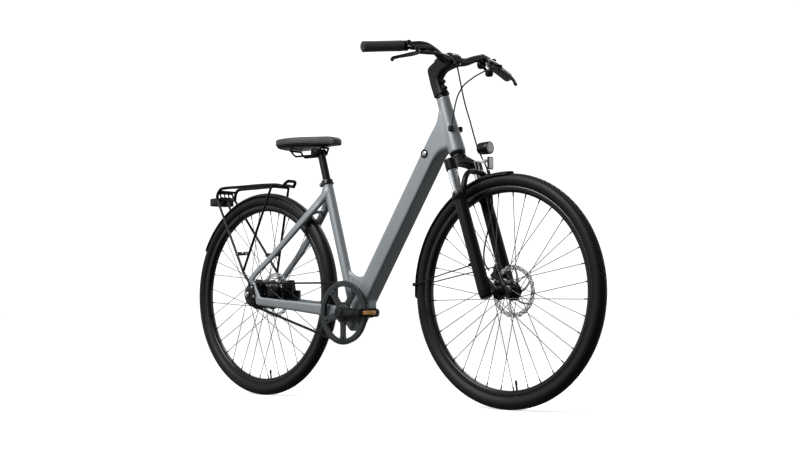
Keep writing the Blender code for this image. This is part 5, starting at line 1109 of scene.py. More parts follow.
ring_bolts = bolt_circle(BRACKET + (0, -0.0586, 0), RIGHT, 0.08, SPIDER_ARMS, 0.0044, 0.0018, -pi / 2)
make_piece("ring_bolts", ring_bolts, black_gloss, "cranks")


# Rear sprocket. A small black toothed ring, cut from plate, with a turned lip that keeps the belt on.
# It sits on the freewheel, outside the motor's right cover.
small_ring = flat_plate(
    [toothed(SPROCKET_TEETH, 0.0375, 0.0345), circle(0.015, 40)], TOOTH_WIDTH, 0.0005, *WHEEL_PLANE,
    REAR_AXLE + (0, BELT_Y, 0)
)
lip = turned([
    (0.0562, 0.015), (0.0562, 0.0405), (0.0572, 0.0412), (0.058, 0.04), (0.0585, 0.03), (0.061, 0.02),
    (0.061, 0.01), (0.0562, 0.01)
], REAR_AXLE, (0, -1, 0), 60)
make_piece(
    "freewheel_sprocket", [small_ring, lip], black_gloss, "rear_sprocket", ["rear_sprocket"], crease=32
)


# Cranks. Forged aluminium arms, rounded and satin charcoal, thinnest before the pedal's eye. Each has
# a round boss on the spindle, closed by a black cap.
charcoal = speckled(
    "charcoal_anodised", "black_metal", (8, 10, 11), (16, 18, 19), 0.4, 0.1, 16, 1300, 0.06,
    Specular_IOR_Level=0.13
)

CRANK_ROWS = (
    (-0.0215, 0.0, 0.012, 0.01), (-0.019, 0.0, 0.022, 0.014), (-0.012, 0.0, 0.032, 0.0155),
    (0.0, 0.0, 0.0355, 0.0155), (0.015, 0.0, 0.034, 0.015), (0.04, 0.001, 0.029, 0.014),
    (0.085, 0.006, 0.0245, 0.013), (0.13, 0.011, 0.022, 0.012), (0.156, 0.012, 0.0255, 0.012),
    (0.17, 0.012, 0.0275, 0.012), (0.179, 0.012, 0.0235, 0.0118), (0.1835, 0.012, 0.012, 0.009)
)
CRANK_Y = 0.0695
PEDAL_AT = {RIGHT: np.array((0.0785, -0.142, 0.2875)), LEFT: np.array((-0.2615, 0.142, 0.2875))}
for side, name in SIDES:
    rows = smooth_line(CRANK_ROWS, 6)
    path = BRACKET + np.column_stack([-side * rows[:, 0], side * (CRANK_Y + rows[:, 1]), 0 * rows[:, 0]])
    arm = bar(path, (0, 1, 0), rows[:, 3], rows[:, 2], rows[:, 3] * 0.36)
    boss = turned([
        (0.0365, 0.01), (0.0365, 0.0168), (0.06, 0.0178), (0.077, 0.0172), (0.0775, 0.01)
    ], BRACKET, (0, side, 0), 44)
    make_piece("crank_arm_" + name, [arm, boss], charcoal, "cranks", ["crank_" + name], crease=34)
    cap = turned([
        (0.0772, 0.0128), (0.0788, 0.0128), (0.0796, 0.0118), (0.0796, 0.006), (0.078, 0.0056),
        (0.078, 0.001)
    ], BRACKET, (0, side, 0), 40)
    make_piece("crank_cap_" + name, cap, black_gloss, "cranks")


# Pedals. A black moulded body round the axle, a charcoal grip plate above and below, and an amber
# reflector with cut prisms on the front and back edges.
def reflector(name, low, high, cells, relief, **constants):
    """A clear moulded finish with small prisms, given how many of them go to a metre."""
    finish = Finish(name, "clear_lens", Coat_Weight=0.6, **constants)
    prisms = finish.node(
        "ShaderNodeTexVoronoi", {"voronoi_dimensions": "3D"}, {"Vector": finish.place(), "Scale": cells},
        "Distance"
    )
    finish.colour(finish.blend(prisms, tone(*low), tone(*high)))
    finish.bump(prisms, *relief)
    return finish


amber = reflector("amber_reflector", (255, 196, 84), (238, 134, 34), 420, (0.5, 0.0006), Roughness=0.18)
for side, name in SIDES:
    body = "pedal_" + name
    centre = PEDAL_AT[side]
    shapes = [turned([
        (-0.046, 0.0065), (-0.046, 0.0095), (-0.0445, 0.011), (0.04, 0.011), (0.0445, 0.0085),
        (0.0455, 0.004), (0.0455, 0.001)
    ], centre, (0, side, 0), 32)]
    for x in (-1, 1):
        shapes.append(block(
            centre + (x * 0.0265, 0, 0), (0, 1, 0), (1, 0, 0), (0.09, 0.0088, 0.0222), 0.0028, 0.003
        ))
    for y in (-0.0415, -0.014, 0.014, 0.0415):
        shapes.append(block(centre + (0, y, 0), (1, 0, 0), (0, 1, 0), (0.056, 0.006, 0.02), 0.002, 0.001))
    make_piece(body + "_body", shapes, black_plastic, body, [body], crease=34)
    outline = rounded(0.062, 0.088, 0.01, 8)[0]
    cuts = [
        rounded(0.017, 0.018, 0.004, 4)[0] + (x, y) for x in (-0.013, 0.013) for y in (-0.027, 0.0, 0.027)
    ]
    plates = [
        flat_plate([outline, *cuts], 0.0014, 0.0003, (1, 0, 0), (0, 1, 0), centre + (0, 0, z * 0.0121))
        for z in (-1, 1)
    ]
    make_piece(body + "_plates", plates, charcoal, body, crease=30)
    lens = [
        block(centre + (x * 0.0308, 0, 0), (0, 1, 0), (1, 0, 0), (0.056, 0.0026, 0.012), 0.001, 0.0008)
        for x in (-1, 1)
    ]
    make_piece(body + "_reflectors", lens, amber, body)


# Fork. The lower legs, with their arch and ends, are one black painted casting; the chromed inner
# legs run up into the crown, which carries the steerer.
chrome = speckled(
    "hard_chrome", "chrome", (216, 219, 222), (232, 235, 238), 0.08, 0.05, 30, 900, 0.01, Metallic=1.0
)

LEG_SIDE = 0.062
LEG_AHEAD = 0.01


def leg_foot(side):
    """The lower end of one leg's axis, level with the wheel's axle."""
    return steered(0, LEG_AHEAD, side * LEG_SIDE)


LEG_ROWS = (
    (-0.011, 0.008), (-0.0105, 0.015), (-0.006, 0.0188), (0.01, 0.02), (0.3, 0.0192), (0.308, 0.0218),
    (0.31, 0.0222), (0.319, 0.0222), (0.321, 0.0205), (0.321, 0.016)
)
ARCH_HALF = (
    (0.306, 0.0215, 0.062), (0.333, 0.037, 0.064), (0.358, 0.044, 0.056), (0.378, 0.046, 0.036),
    (0.383, 0.046, 0.014)
)
arch_rows = np.array([*ARCH_HALF, *(np.array(ARCH_HALF[::-1]) * (1, 1, -1))])
arch_path = smooth_line([steered(*row) for row in arch_rows], 6)
lowers = [bar(arch_path, STEER_UP, 0.019, 0.015, 0.007)]
for side in (RIGHT, LEFT):
    lowers.append(turned(LEG_ROWS, leg_foot(side), STEER_UP, 48))
    lowers.append(turned([
        (0.0503, 0.005), (0.0503, 0.0138), (0.0508, 0.0145), (0.0588, 0.0145), (0.0593, 0.0138),
        (0.0593, 0.005)
    ], FRONT_AXLE, (0, side, 0), 40))
    web = [
        FRONT_AXLE + (0, side * 0.0548, 0), steered(0.022, 0.026, side * 0.0555),
        steered(0.055, 0.01, side * 0.0565)
    ]
    lowers.append(bar(smooth_line(web, 5), (0, 1, 0), 0.009, 0.027, 0.003))
    lowers.append(rod([
        steered(0.103, -0.004, side * LEG_SIDE), steered(0.103, -0.0158, side * LEG_SIDE)
    ], 0.0052))
lowers.append(block(steered(0.075, -0.013, 0.0545), STEER_UP, SIDE, (0.052, 0.012, 0.02), 0.003, 0.003))
finish_piece(
    "fork_casting", welded("fork_casting", lowers, 0.0017, 5), black_paint, "fork_lowers",
    ["fork_lowers"], 80
)
wipers = [
    turned([
        (0.3205, 0.0162), (0.3205, 0.0198), (0.325, 0.0196), (0.3262, 0.0186), (0.3285, 0.0176),
        (0.3285, 0.0158)
    ], leg_foot(side), STEER_UP, 40)
    for side in (RIGHT, LEFT)
]
make_piece("fork_wipers", wipers, hose_rubber, "fork_lowers")

for side, name in SIDES:
    inner = turned([
        (0.19, 0.01), (0.19, 0.0155), (0.4247, 0.0155), (0.4247, 0.01)
    ], leg_foot(side), STEER_UP, 48)
    make_piece("inner_leg_" + name, inner, chrome, "steering", ["stanchion_" + name])

CROWN_ROWS = (
    (0.062, 0.417, 0.01, 0.034, 0.03), (0.04, 0.428, 0.006, 0.034, 0.026),
    (0.015, 0.436, 0.003, 0.038, 0.028), (-0.015, 0.436, 0.003, 0.038, 0.028),
    (-0.04, 0.428, 0.006, 0.034, 0.026), (-0.062, 0.417, 0.01, 0.034, 0.03)
)
rows = smooth_line(CROWN_ROWS, 6)
crown_path = np.array([steered(along, ahead, side) for side, along, ahead in rows[:, :3]])
crown = [bar(crown_path, STEER_AHEAD, rows[:, 3], rows[:, 4], 0.008)]
crown.append(turned([
    (0.43, 0.01), (0.43, 0.021), (0.442, 0.0245), (0.45, 0.0242), (0.4575, 0.0225), (0.458, 0.01)
], steered(0, 0), STEER_UP, 48))
for side in (RIGHT, LEFT):
    crown.append(turned([
        (0.398, 0.01), (0.398, 0.0178), (0.3995, 0.0186), (0.431, 0.0186), (0.4345, 0.0165),
        (0.4345, 0.01)
    ], leg_foot(side), STEER_UP, 44))
finish_piece(
    "fork_crown_casting", welded("fork_crown_casting", crown, 0.0016, 4), black_paint, "steering",
    ["fork_crown"], 80
)
caps = [
    turned([
        (0.4338, 0.0105), (0.436, 0.0105), (0.4368, 0.0095), (0.4368, 0.005), (0.4352, 0.0046),
        (0.4352, 0.001)
    ], leg_foot(side), STEER_UP, 36)
    for side in (RIGHT, LEFT)
]
make_piece("fork_caps", caps, black_gloss, "steering")
make_piece("steerer", rod([steered(0.457, 0), steered(0.69, 0)], 0.0125), black_paint, "steering")
leg_bolts = [
    bolt(FRONT_AXLE + (0.002, side * 0.0592, 0.031), (0, side, 0), 0.003, 0.0018)
    for side in (RIGHT, LEFT)
]
make_piece("fork_end_bolts", leg_bolts, steel, "fork_lowers")


# Calipers. Black two-piston brake bodies with softened edges, each held by bright bolts: the front
# one on the left fork leg, the rear one inside the left stays.
softened("front_caliper", black_gloss, "fork_lowers", 0.0016)
softened("rear_caliper", black_gloss, "frame", 0.0016)
front_pins = [
    bolt(FRONT_AXLE + (-0.06 + dx, 0.052, 0.04 + dz), (0, 1, 0), 0.0042, 0.003)
    for dx, dz in ((-0.006, 0.016), (0.007, -0.012))
]
front_pins.append(bolt(steered(0.075, -0.031, 0.053), -STEER_AHEAD, 0.0036, 0.003))
make_piece("front_caliper_bolts", front_pins, steel, "fork_lowers")
rear_pins = [
    bolt(REAR_AXLE + (0.0715 + dx, 0.066, 0.015 + dz), (0, 1, 0), 0.0045, 0.0032)
    for dx, dz in ((-0.012, 0.018), (0.01, -0.014))
]
make_piece("rear_caliper_bolts", rear_pins, steel, "frame")


# Mudguards. Thin shells of satin black plastic, arched across the tyre. The front one has two wire
# stays, which clip to it low down; each shell is held by a small black tab as well.
GUARD_RADIUS = 0.357
GUARD_HALF = 0.0205
GUARD_DROP = 0.011
GUARD_POWER = 2.6
GUARD_WALL = 0.0018


def guard_sheet(axle, start, end, round_start, round_end):
    """An arch carried round the axle: across it the sheet falls as a power of the share of its half
    width, and near a rounded end the half width shrinks as a quarter circle."""
    turn = np.linspace(radians(start), radians(end), 120)[:, None]
    share = np.linspace(-1, 1, 21)[None, :]
    run = GUARD_RADIUS * np.abs(turn - turn[0])
    left = GUARD_RADIUS * np.abs(turn - turn[-1])
    width = np.ones_like(turn)
    for reach, distance in ((round_start, run), (round_end, left)):
        inside = np.clip(distance / reach, 0.0, 1.0)
        width = width * np.sqrt(np.clip(1 - (1 - inside) ** 2, 0.02, 1))
    radius = GUARD_RADIUS - GUARD_DROP * np.abs(share * width) ** GUARD_POWER
    across = GUARD_HALF * share * width
    return np.stack([axle[0] + radius * np.cos(turn), across, axle[2] + radius * np.sin(turn)], -1)


def open_sheet(grid):
    """A grid of points (n, k, 3) as a sheet of quads with its edges free."""
    count, across = grid.shape[:2]
    corner = np.arange(count - 1)[:, None] * across + np.arange(across - 1)[None, :]
    faces = np.stack([corner, corner + 1, corner + across + 1, corner + across], -1).reshape(-1, 4)
    return grid.reshape(-1, 3), [faces]


def guard(name, axle, body, *ends):
    """One mudguard: its sheet is given its wall, half to each side, by Solidify."""
    sheet = open_sheet(guard_sheet(axle, *ends))
    piece = make_piece(name + "_guard", sheet, black_plastic, body, [name + "_mudguard"], crease=60)
    wall = piece.modifiers.new("wall", "SOLIDIFY")
    wall.thickness = GUARD_WALL
    wall.offset = 0


guard("front", FRONT_AXLE, "fork_lowers", 86, 183, 0.016, 0.022)
guard("rear", REAR_AXLE, "frame", -22, 153.4, 0.014, 0.022)
CLIP_REACH = 0.3488
stays = []
clips = []
clip_way = np.array((cos(radians(176)), 0, sin(radians(176))))
for side in (RIGHT, LEFT):
    lug = steered(0.103, -0.0163, side * LEG_SIDE)
    clip = FRONT_AXLE + CLIP_REACH * clip_way + (0, side * 0.0205, 0)
    stays.append(rod(
        smooth_line([
            lug + 0.006 * STEER_AHEAD, lug, lug - 0.02 * STEER_AHEAD + (0, -side * 0.002, 0),
            0.5 * (lug + clip) + (0, side * 0.004, 0), clip, clip + (-0.004, 0, -0.0002)
        ], 6),
        0.0019, around=12
    ))
    clips.append(block(
        clip + (0, side * 0.0006, 0), clip_way, (0, 1, 0), (0.015, 0.0052, 0.011), 0.0018, 0.0014
    ))
    stays.append(turned([
        (-0.0005, 0.003), (-0.0005, 0.0052), (0.004, 0.0052), (0.0052, 0.0042), (0.0052, 0.001)
    ], lug, -STEER_AHEAD, 20))
make_piece("front_guard_stays", stays, black_gloss, "fork_lowers")
make_piece("front_guard_clips", clips, black_plastic, "fork_lowers")
guard_crest = FRONT_AXLE + (GUARD_RADIUS * cos(radians(92)), 0, GUARD_RADIUS * sin(radians(92)))
front_tab = block(
    0.5 * (steered(0.368, 0.044) + guard_crest), STEER_UP, SIDE, (0.03, 0.015, 0.003), 0.001, 0.001
)
make_piece("front_guard_tab", front_tab, black_gloss, "fork_lowers")
rear_tab = block((-0.2895, 0, 0.624), (-0.8, 0, -0.2), SIDE, (0.044, 0.016, 0.0028), 0.001, 0.001)
foot = rod([(-0.731, 0, 0.6655), (-0.7255, 0, 0.656)], 0.004)
make_piece("rear_guard_tab", [rear_tab, foot], black_gloss, "frame")


# Headlight. A ribbed black can with a clear front glass over a bright bowl, on a bent wire
# bracket that also carries a white reflector.
LAMP = np.array((0.462, 0, 0.785))
can = turned([
    (-0.0225, 0.001), (-0.0225, 0.014), (-0.0215, 0.0168), (-0.018, 0.0182), (-0.005, 0.0192),
    (-0.0045, 0.0185), (-0.003, 0.0185), (-0.0025, 0.0193), (0.003, 0.0195), (0.0035, 0.0188),
    (0.005, 0.0188), (0.0055, 0.0195), (0.017, 0.0195), (0.018, 0.019), (0.0184, 0.018), (0.0184, 0.0168),
    (0.012, 0.016), (0.004, 0.008), (0.004, 0.001)
], LAMP, (1, 0, 0), 56)
make_piece(
    "headlight_can", can, black_gloss, "fork_lowers", ["headlight"], crease=32
)
bowl = turned([
    (0.0045, 0.001), (0.005, 0.006), (0.008, 0.011), (0.013, 0.015), (0.015, 0.016), (0.0148, 0.0162)
], LAMP, (1, 0, 0), 40)
make_piece("headlight_bowl", bowl, chrome, "fork_lowers")
glass = Finish("clear_glass", "clear_lens", IOR=1.49, Transmission_Weight=0.45, Coat_Weight=0.5)
ribs = glass.noise(60, 1.0)
glass.colour(glass.blend(ribs, tone(196, 200, 204), tone(214, 218, 221)))
glass.rough(0.08 + ribs * 0.05)
front_glass = turned([
    (0.015, 0.001), (0.015, 0.0158), (0.0172, 0.0166), (0.0183, 0.015), (0.0186, 0.009), (0.0187, 0.001)
], LAMP, (1, 0, 0), 44)
make_piece("headlight_glass", front_glass, glass, "fork_lowers", ["headlight_lens"])
softened("headlight_bracket", steel, "fork_lowers", 0.0004)
white_reflector = reflector(
    "white_reflector", (238, 240, 242), (206, 210, 213), 380, (0.4, 0.0005), Roughness=0.14
)
plate = block((0.4812, 0, 0.738), (0, 0, 1), (0, 1, 0), (0.035, 0.02, 0.0052), 0.002, 0.0016)
make_piece("front_reflector", plate, white_reflector, "fork_lowers")
rim_z, rim_y = rounded(0.037, 0.022, 0.0032, 5)[0].T
rim_line = np.column_stack([0 * rim_y, rim_y, rim_z]) + (0.4806, 0, 0.738)
rim = bar(np.concatenate([rim_line, rim_line[:2]]), (1, 0, 0), 0.0058, 0.0014, 0.0005, 3)
make_piece("front_reflector_frame", rim, black_plastic, "fork_lowers")


# Stem. An angular forged riser: it leans back out of the steerer, bends sharply and runs forwards
# to the bar's clamp. Two round-headed bolts pinch it on the steerer.
STEM_ROWS = (
    (steered(0.6597, -0.0225), steered(0.6597, 0.0185), 0.041),
    (steered(0.668, -0.0222), steered(0.668, 0.019), 0.0408),
    ((0.2544, 0, 0.9933), (0.2959, 0, 0.9916), 0.036), ((0.2462, 0, 1.019), (0.2874, 0, 1.0147), 0.034),
    ((0.24, 0, 1.0535), (0.2878, 0, 1.02), 0.034), ((0.2663, 0, 1.0729), (0.303, 0, 1.0374), 0.035),
    ((0.2977, 0, 1.0919), (0.3234, 0, 1.045), 0.039), ((0.327, 0, 1.093), (0.3345, 0, 1.048), 0.041)
)
CLAMP = np.array((0.3333, 0, 1.0714))


def stem_loft():
    """Rounded rectangles between the stem's back line and its front line, from the steerer up."""
    rows = smooth_line([[*back, *front, width] for back, front, width in STEM_ROWS], 5)
    return between(rows[:, :3], rows[:, 3:6], rows[:, 6], 0.0095)


clamp_barrel = turned([
    (-0.021, 0.015), (-0.021, 0.0205), (-0.0195, 0.0218), (0.0195, 0.0218), (0.021, 0.0205),
    (0.021, 0.015)
], CLAMP, SIDE, 48)
collar = turned([
    (0.659, 0.013), (0.659, 0.0215), (0.661, 0.0222), (0.672, 0.0222), (0.674, 0.02), (0.674, 0.013)
], steered(0, 0), STEER_UP, 48)
finish_piece(
    "stem_forging", welded("stem_forging", [stem_loft(), clamp_barrel, collar], 0.0013, 4), charcoal,
    "steering", ["stem"], 80
)
pinch = [
    turned([
        (0.0, 0.0062), (0.015, 0.0062), (0.016, 0.0054), (0.016, 0.0032), (0.013, 0.003), (0.013, 0.001)
    ], steered(along, 0.008), STEER_AHEAD, 24)
    for along in (0.679, 0.701)
]
make_piece("stem_pinch_bolts", pinch, black_gloss, "steering")
face_bolts = [
    bolt(CLAMP + (0.0172, y, z), (1, 0, z * 12), 0.003, 0.0026)
    for y in (-0.0135, 0.0135)
    for z in (-0.0125, 0.0125)
]
make_piece("stem_face_bolts", face_bolts, steel, "steering")


# Handlebar. One satin black aluminium tube, swept back, thick in the clamp and drawn thinner out to
# the grips. The stem's clamp holds it in the middle.
BAR_HALF = (
    (0.3333, 0.0, 1.0709, 0.0155), (0.3335, 0.015, 1.0706, 0.0155), (0.335, 0.03, 1.0697, 0.0153),
    (0.3385, 0.06, 1.0735, 0.0128), (0.3425, 0.095, 1.086, 0.0112), (0.3438, 0.13, 1.0955, 0.011),
    (0.3405, 0.16, 1.096, 0.011), (0.3335, 0.183, 1.0925, 0.011), (0.3245, 0.199, 1.0889, 0.011),
    (0.32, 0.214, 1.087, 0.011), (0.314, 0.234, 1.0845, 0.011), (0.2812, 0.344, 1.0705, 0.011)
)
half = np.array(BAR_HALF)
rows = smooth_line(np.concatenate([half[:0:-1] * (1, -1, 1, 1), half]), 8)
make_piece(
    "swept_bar", rod(rows[:, :3], rows[:, 3], (0, 0, 1), 32), black_gloss, "steering", ["handlebar"]
)


# Grips. Smooth charcoal rubber sleeves, a little waisted, pushed over the bar's ends, with a black
# moulded plug in each end.
grip_rubber = speckled(
    "charcoal_grip_rubber", "rubber", (30, 32, 33), (40, 42, 43), 0.46, 0.1, 30, 1500, 0.14
)
BAR_OUT = np.array((0.32, 0.214, 1.087))
GRIP_END = np.array((0.28, 0.348, 1.07))
SLEEVE = (
    (0.029, 0.0112), (0.03, 0.016), (0.035, 0.0166), (0.16, 0.0164), (0.3, 0.0162), (0.5, 0.0161),
    (0.7, 0.0162), (0.9, 0.0164), (0.978, 0.0165), (0.986, 0.0158), (0.987, 0.0112)
)
PLUG = ((0.97, 0.012), (0.98, 0.014), (0.99, 0.0146), (0.994, 0.0138), (0.995, 0.011))
for side, name in SIDES:
    start, end = BAR_OUT * (1, side, 1), GRIP_END * (1, side, 1)
    for piece, rows, finish, nodes in (
        ("grip_sleeve_", SLEEVE, grip_rubber, ["grip_" + name]), ("grip_plug_", PLUG, black_plastic, [])
    ):
        share, radius = np.array(rows).T
        shape = rod(start + share[:, None] * (end - start), radius, (0, 0, 1), 36)
        make_piece(piece + name, shape, finish, "steering", nodes)


# Brake levers and masters. Dark forged blades with a hooked tip, each on a pin in a black cast body
# that clamps the bar.
LEVER_BLADE = (
    (0.3665, 0.19, 1.065, 0.011, 0.0085), (0.365, 0.2, 1.0618, 0.012, 0.011),
    (0.3665, 0.225, 1.0545, 0.011, 0.013), (0.3655, 0.25, 1.0475, 0.01, 0.0118),
    (0.36, 0.275, 1.0405, 0.0095, 0.01), (0.3535, 0.2885, 1.0362, 0.0095, 0.0106),
    (0.352, 0.295, 1.0322, 0.0096, 0.0112), (0.353, 0.2985, 1.027, 0.0085, 0.01)
)
for side, name in SIDES:
    softened("brake_master_" + name, black_gloss, "steering", 0.001)
    rows = smooth_line(mirrored(LEVER_BLADE, side), 6)
    blade = bar(rows[:, :3], (1, 0, 0), rows[:, 3], rows[:, 4], 0.003)
    make_piece(
        "lever_blade_" + name, blade, black_gloss, "lever_" + name, ["brake_lever_" + name], crease=40
    )
    pivot = bolt((0.365, side * 0.2, 1.0655), (0, 0, 1), 0.0042, 0.0026)
    make_piece("lever_pivot_" + name, pivot, steel, "steering")


# Display, control pad and bell. A slim black display is sunk in the stem; the rider's left thumb
# has a round pad with two keys and a small domed bell under it.
softened("display", black_gloss, "steering", 0.0012)
softened("control_pad", black_plastic, "steering", 0.0012)
dome = turned([
    (0.003, 0.012), (0.0, 0.0132), (-0.003, 0.0134), (-0.009, 0.0118), (-0.013, 0.0085), (-0.0152, 0.004),
    (-0.0156, 0.001)
], (0.345, 0.167, 1.0555), (0, 0, 1), 40)
make_piece("bell_dome", dome, charcoal, "steering")
keys = [
    block((0.3442, 0.139, 1.0765 + z), (0, 1, 0), (0, 0, 1), (0.013, 0.008, 0.003), 0.0014, 0.001)
    for z in (-0.005, 0.0055)
]
make_piece("pad_keys", keys, grip_rubber, "steering")


# Seatpost. A straight satin aluminium tube, held by the seat clamp. The two end discs of its round
# head grip the saddle's rails.
post = rod([
    on_seat_tube(0.56), on_seat_tube(0.82), on_seat_tube(0.829)
], (0.0135, 0.0135, 0.013), around=40)
POST_HEAD = np.array((-0.2652, 0, 0.8305))
head = turned([
    (-0.0255, 0.001), (-0.0255, 0.012), (-0.024, 0.015), (-0.0205, 0.016), (-0.02, 0.0135),
    (0.02, 0.0135), (0.0205, 0.016), (0.024, 0.015), (0.0255, 0.012), (0.0255, 0.001)
], POST_HEAD, SIDE, 44)
make_piece("post_tube", [post, head], charcoal, "seat", ["seatpost"], crease=34)
discs = [
    turned([
        (0.025, 0.01), (0.0272, 0.0098), (0.028, 0.0086), (0.028, 0.004), (0.0262, 0.0036),
        (0.0262, 0.001)
    ], POST_HEAD, (0, side, 0), 32)
    for side in (RIGHT, LEFT)
]
make_piece("post_head_discs", discs, charcoal, "seat")
softened("saddle_rails", black_gloss, "seat", 0.0003)


# Saddle. A wide, flat-topped city saddle: a charcoal cover over firm foam, drawn down round a
# black moulded base. The cover is crowned along its rim and dips a little along the middle.
saddle_leather = Finish("saddle_cover", "saddle_cover")
hide = saddle_leather.node(
    "ShaderNodeTexVoronoi", {"voronoi_dimensions": "3D"},
    {"Vector": saddle_leather.place(), "Scale": 900.0}, "Distance"
)
patch = saddle_leather.noise(24, 3.0)
saddle_leather.colour(saddle_leather.blend(patch * 0.7 + hide * 0.3, tone(28, 29, 30), tone(38, 39, 41)))
saddle_leather.rough(0.5 + hide * 0.12 + (patch - 0.5) * 0.1)
saddle_leather.bump(hide, 0.28, 0.0005)
SADDLE_ROWS = (
    (-0.4125, 0.059, 0.882, 0.8672), (-0.411, 0.065, 0.8848, 0.8665), (-0.404, 0.0705, 0.8864, 0.8662),
    (-0.386, 0.0725, 0.8868, 0.866), (-0.365, 0.0735, 0.8868, 0.866), (-0.325, 0.0695, 0.8862, 0.866),
    (-0.285, 0.053, 0.885, 0.8655), (-0.245, 0.036, 0.8835, 0.8645), (-0.21, 0.0285, 0.8815, 0.863),
    (-0.187, 0.025, 0.8775, 0.8605), (-0.175, 0.0195, 0.8715, 0.859), (-0.1705, 0.0125, 0.8655, 0.858)
)
DIP_DEPTH = 0.0022
DIP_HALF = 0.012
DIP_WHERE_WIDE = 0.03


def saddle_skin(rows, under, square):
    """Closed sections across the saddle: a flattened arch above the rim, a shallower one below,
    each a power curve; the power squares the shoulders."""
    x, half, top, edge = rows.T[:, :, None]
    turn = (np.arange(64) / 64 * 2 * pi)[None, :]
    bend_y = np.sign(np.cos(turn)) * np.abs(np.cos(turn)) ** square
    bend_z = np.abs(np.sin(turn)) ** square
    above = np.sin(turn) >= 0
    dip = DIP_DEPTH * np.exp(-((half * bend_y) / DIP_HALF) ** 2) * (half > DIP_WHERE_WIDE)
    z = edge + np.where(above, (top - edge) * bend_z - dip * bend_z, -(edge - under) * bend_z)
    return skinned(np.stack([np.broadcast_to(x, z.shape), half * bend_y, z], -1))


rows = smooth_line(SADDLE_ROWS, 6)
rows[:, 1] = np.maximum(rows[:, 1], 0.004)
cover = make_piece(
    "saddle_cover_pad", saddle_skin(rows, rows[:, 3:] - 0.0085, 0.44), saddle_leather, "seat", ["saddle"],
    crease=70
)
base_rows = rows[4:-3] * (1, 0.93, 1, 1)
base_rows[:, 2] = base_rows[:, 3] - 0.002
base_rows[:, 3] = base_rows[:, 3] - 0.0075
make_piece(
    "saddle_base", saddle_skin(base_rows, np.full((len(base_rows), 1), 0.849), 0.75), black_plastic,
    "seat", crease=60
)


# Rack. Welded black rods with rounded corners: two rails, a raised hoop in front, struts down to
# the rear ends with a notched brace on each side, and the plate that carries the tail light.
RACK_ROD = 0.0056
STRUT_ROD = 0.0045
RAIL = (
    (-0.7527, 0.042, 0.6985), (-0.75, 0.0418, 0.715), (-0.7417, 0.0405, 0.7275), (-0.721, 0.039, 0.736),
    (-0.62, 0.0349, 0.7355), (-0.52, 0.0308, 0.735), (-0.452, 0.0275, 0.732), (-0.425, 0.026, 0.727),
    (-0.415, 0.024, 0.7262)
)
HOOP = ((-0.418, 0.024, 0.7262), (-0.409, 0.0225, 0.7345), (-0.404, 0.019, 0.74), (-0.402, 0.012, 0.7425))
rods = []
for side in (RIGHT, LEFT):
    rods.append(rod(smooth_line(mirrored(RAIL, side), 7), RACK_ROD, (0, 0, 1)))
    vee = np.array((-0.5617, side * 0.08, 0.4311))
    foot = np.array((-0.531, side * 0.0752, 0.388))
    rear_top = np.array((-0.7527, side * 0.042, 0.699))
    front_top = np.array((-0.461, side * 0.0405, 0.726))
    for top in (rear_top, front_top):
        rods.append(rod([top, top + 0.98 * (vee - top), vee], STRUT_ROD, (0, 1, 0)))
    rods.append(rod(smooth_line([vee + (0.001, 0, 0.006), vee, foot], 5), STRUT_ROD))
    rods.append(turned([
        (-0.0022, 0.001), (-0.0022, 0.0068), (-0.0014, 0.0075), (0.0014, 0.0075), (0.0022, 0.0068),
        (0.0022, 0.001)
    ], foot + (0, side * 0.0015, 0), (0, side, 0), 28))
hoop = np.array(HOOP)
rods.append(rod(smooth_line(np.concatenate([hoop, hoop[::-1] * (1, -1, 1)]), 6), RACK_ROD, (0, 0, 1)))
for x, half, z in ((-0.743, 0.0405, 0.7262), (-0.7527, 0.042, 0.699), (-0.461, 0.0405, 0.726)):
    rods.append(rod([(x, -half, z), (x, half, z)], STRUT_ROD, (0, 0, 1)))
rods.append(rod([(-0.75, 0, 0.699), (-0.731, 0, 0.6655)], STRUT_ROD))
make_piece("rack_rods", rods, black_paint, "frame", ["rear_rack"], crease=50)
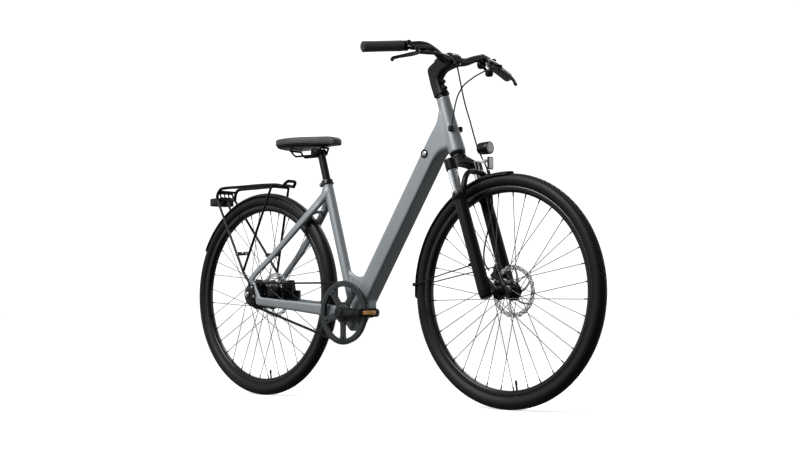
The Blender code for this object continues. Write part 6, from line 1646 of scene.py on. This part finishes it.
BRACE = (
    (-0.613, 0.488), (-0.543, 0.488), (-0.541, 0.501), (-0.572, 0.501), (-0.573, 0.496), (-0.581, 0.496),
    (-0.582, 0.501), (-0.615, 0.501)
)
braces = [flat_plate([BRACE], 0.004, 0.0006, *WHEEL_PLANE, (0, side * 0.07, 0)) for side in (RIGHT, LEFT)]
lamp_way = np.array((-sin(radians(18)), 0, cos(radians(18))))
plate_outline = cut_corners(rounded(0.064, 0.038, 0.006, 4)[0], 1)
plate_holes = [rounded(0.015, 0.012, 0.003, 4)[0] + (y, 0.0) for y in (-0.019, 0.0, 0.019)]
lamp_plate = flat_plate(
    [plate_outline, *plate_holes], 0.0036, 0.0007, (0, 1, 0), lamp_way, (-0.749, 0, 0.712)
)
make_piece("rack_plates", [*braces, lamp_plate], black_paint, "frame", crease=34)
brace_bolts = [
    bolt((x, side * 0.0722, 0.4945), (0, side, 0), 0.0036, 0.0024)
    for x in (-0.603, -0.552)
    for side in (RIGHT, LEFT)
]
make_piece("rack_bolts", brace_bolts, steel, "frame")


# Tail light. A black moulded housing, fixed under the rack's plate, with a ribbed red lens that
# wraps its back.
red_glass = Finish("red_lens", "red_lens", Roughness=0.16, Coat_Weight=0.6)
flutes = red_glass.node(
    "ShaderNodeTexWave", {"wave_type": "BANDS", "bands_direction": "Y"},
    {"Vector": red_glass.place(), "Scale": 150.0}, "Fac"
)
red_glass.colour(red_glass.blend(flutes, tone(158, 18, 22), tone(206, 34, 36)))
red_glass.bump(flutes, 0.3, 0.0006)
housing = block((-0.7762, 0, 0.6895), (1, 0, 0), SIDE, (0.048, 0.074, 0.029), 0.006, 0.003)
make_piece("tail_light_housing", housing, black_plastic, "frame", ["tail_light"], crease=40)
LENS_ROWS = (
    (-0.8, 0.6895, 0.024, 0.062), (-0.805, 0.6895, 0.0235, 0.061), (-0.8078, 0.6895, 0.02, 0.057)
)
lens_path = np.array([(x, 0, z) for x, z, _, _ in LENS_ROWS])
lens = bar(lens_path, (0, 1, 0), [row[3] for row in LENS_ROWS], [row[2] for row in LENS_ROWS], 0.005)
make_piece("tail_lens", lens, red_glass, "frame")
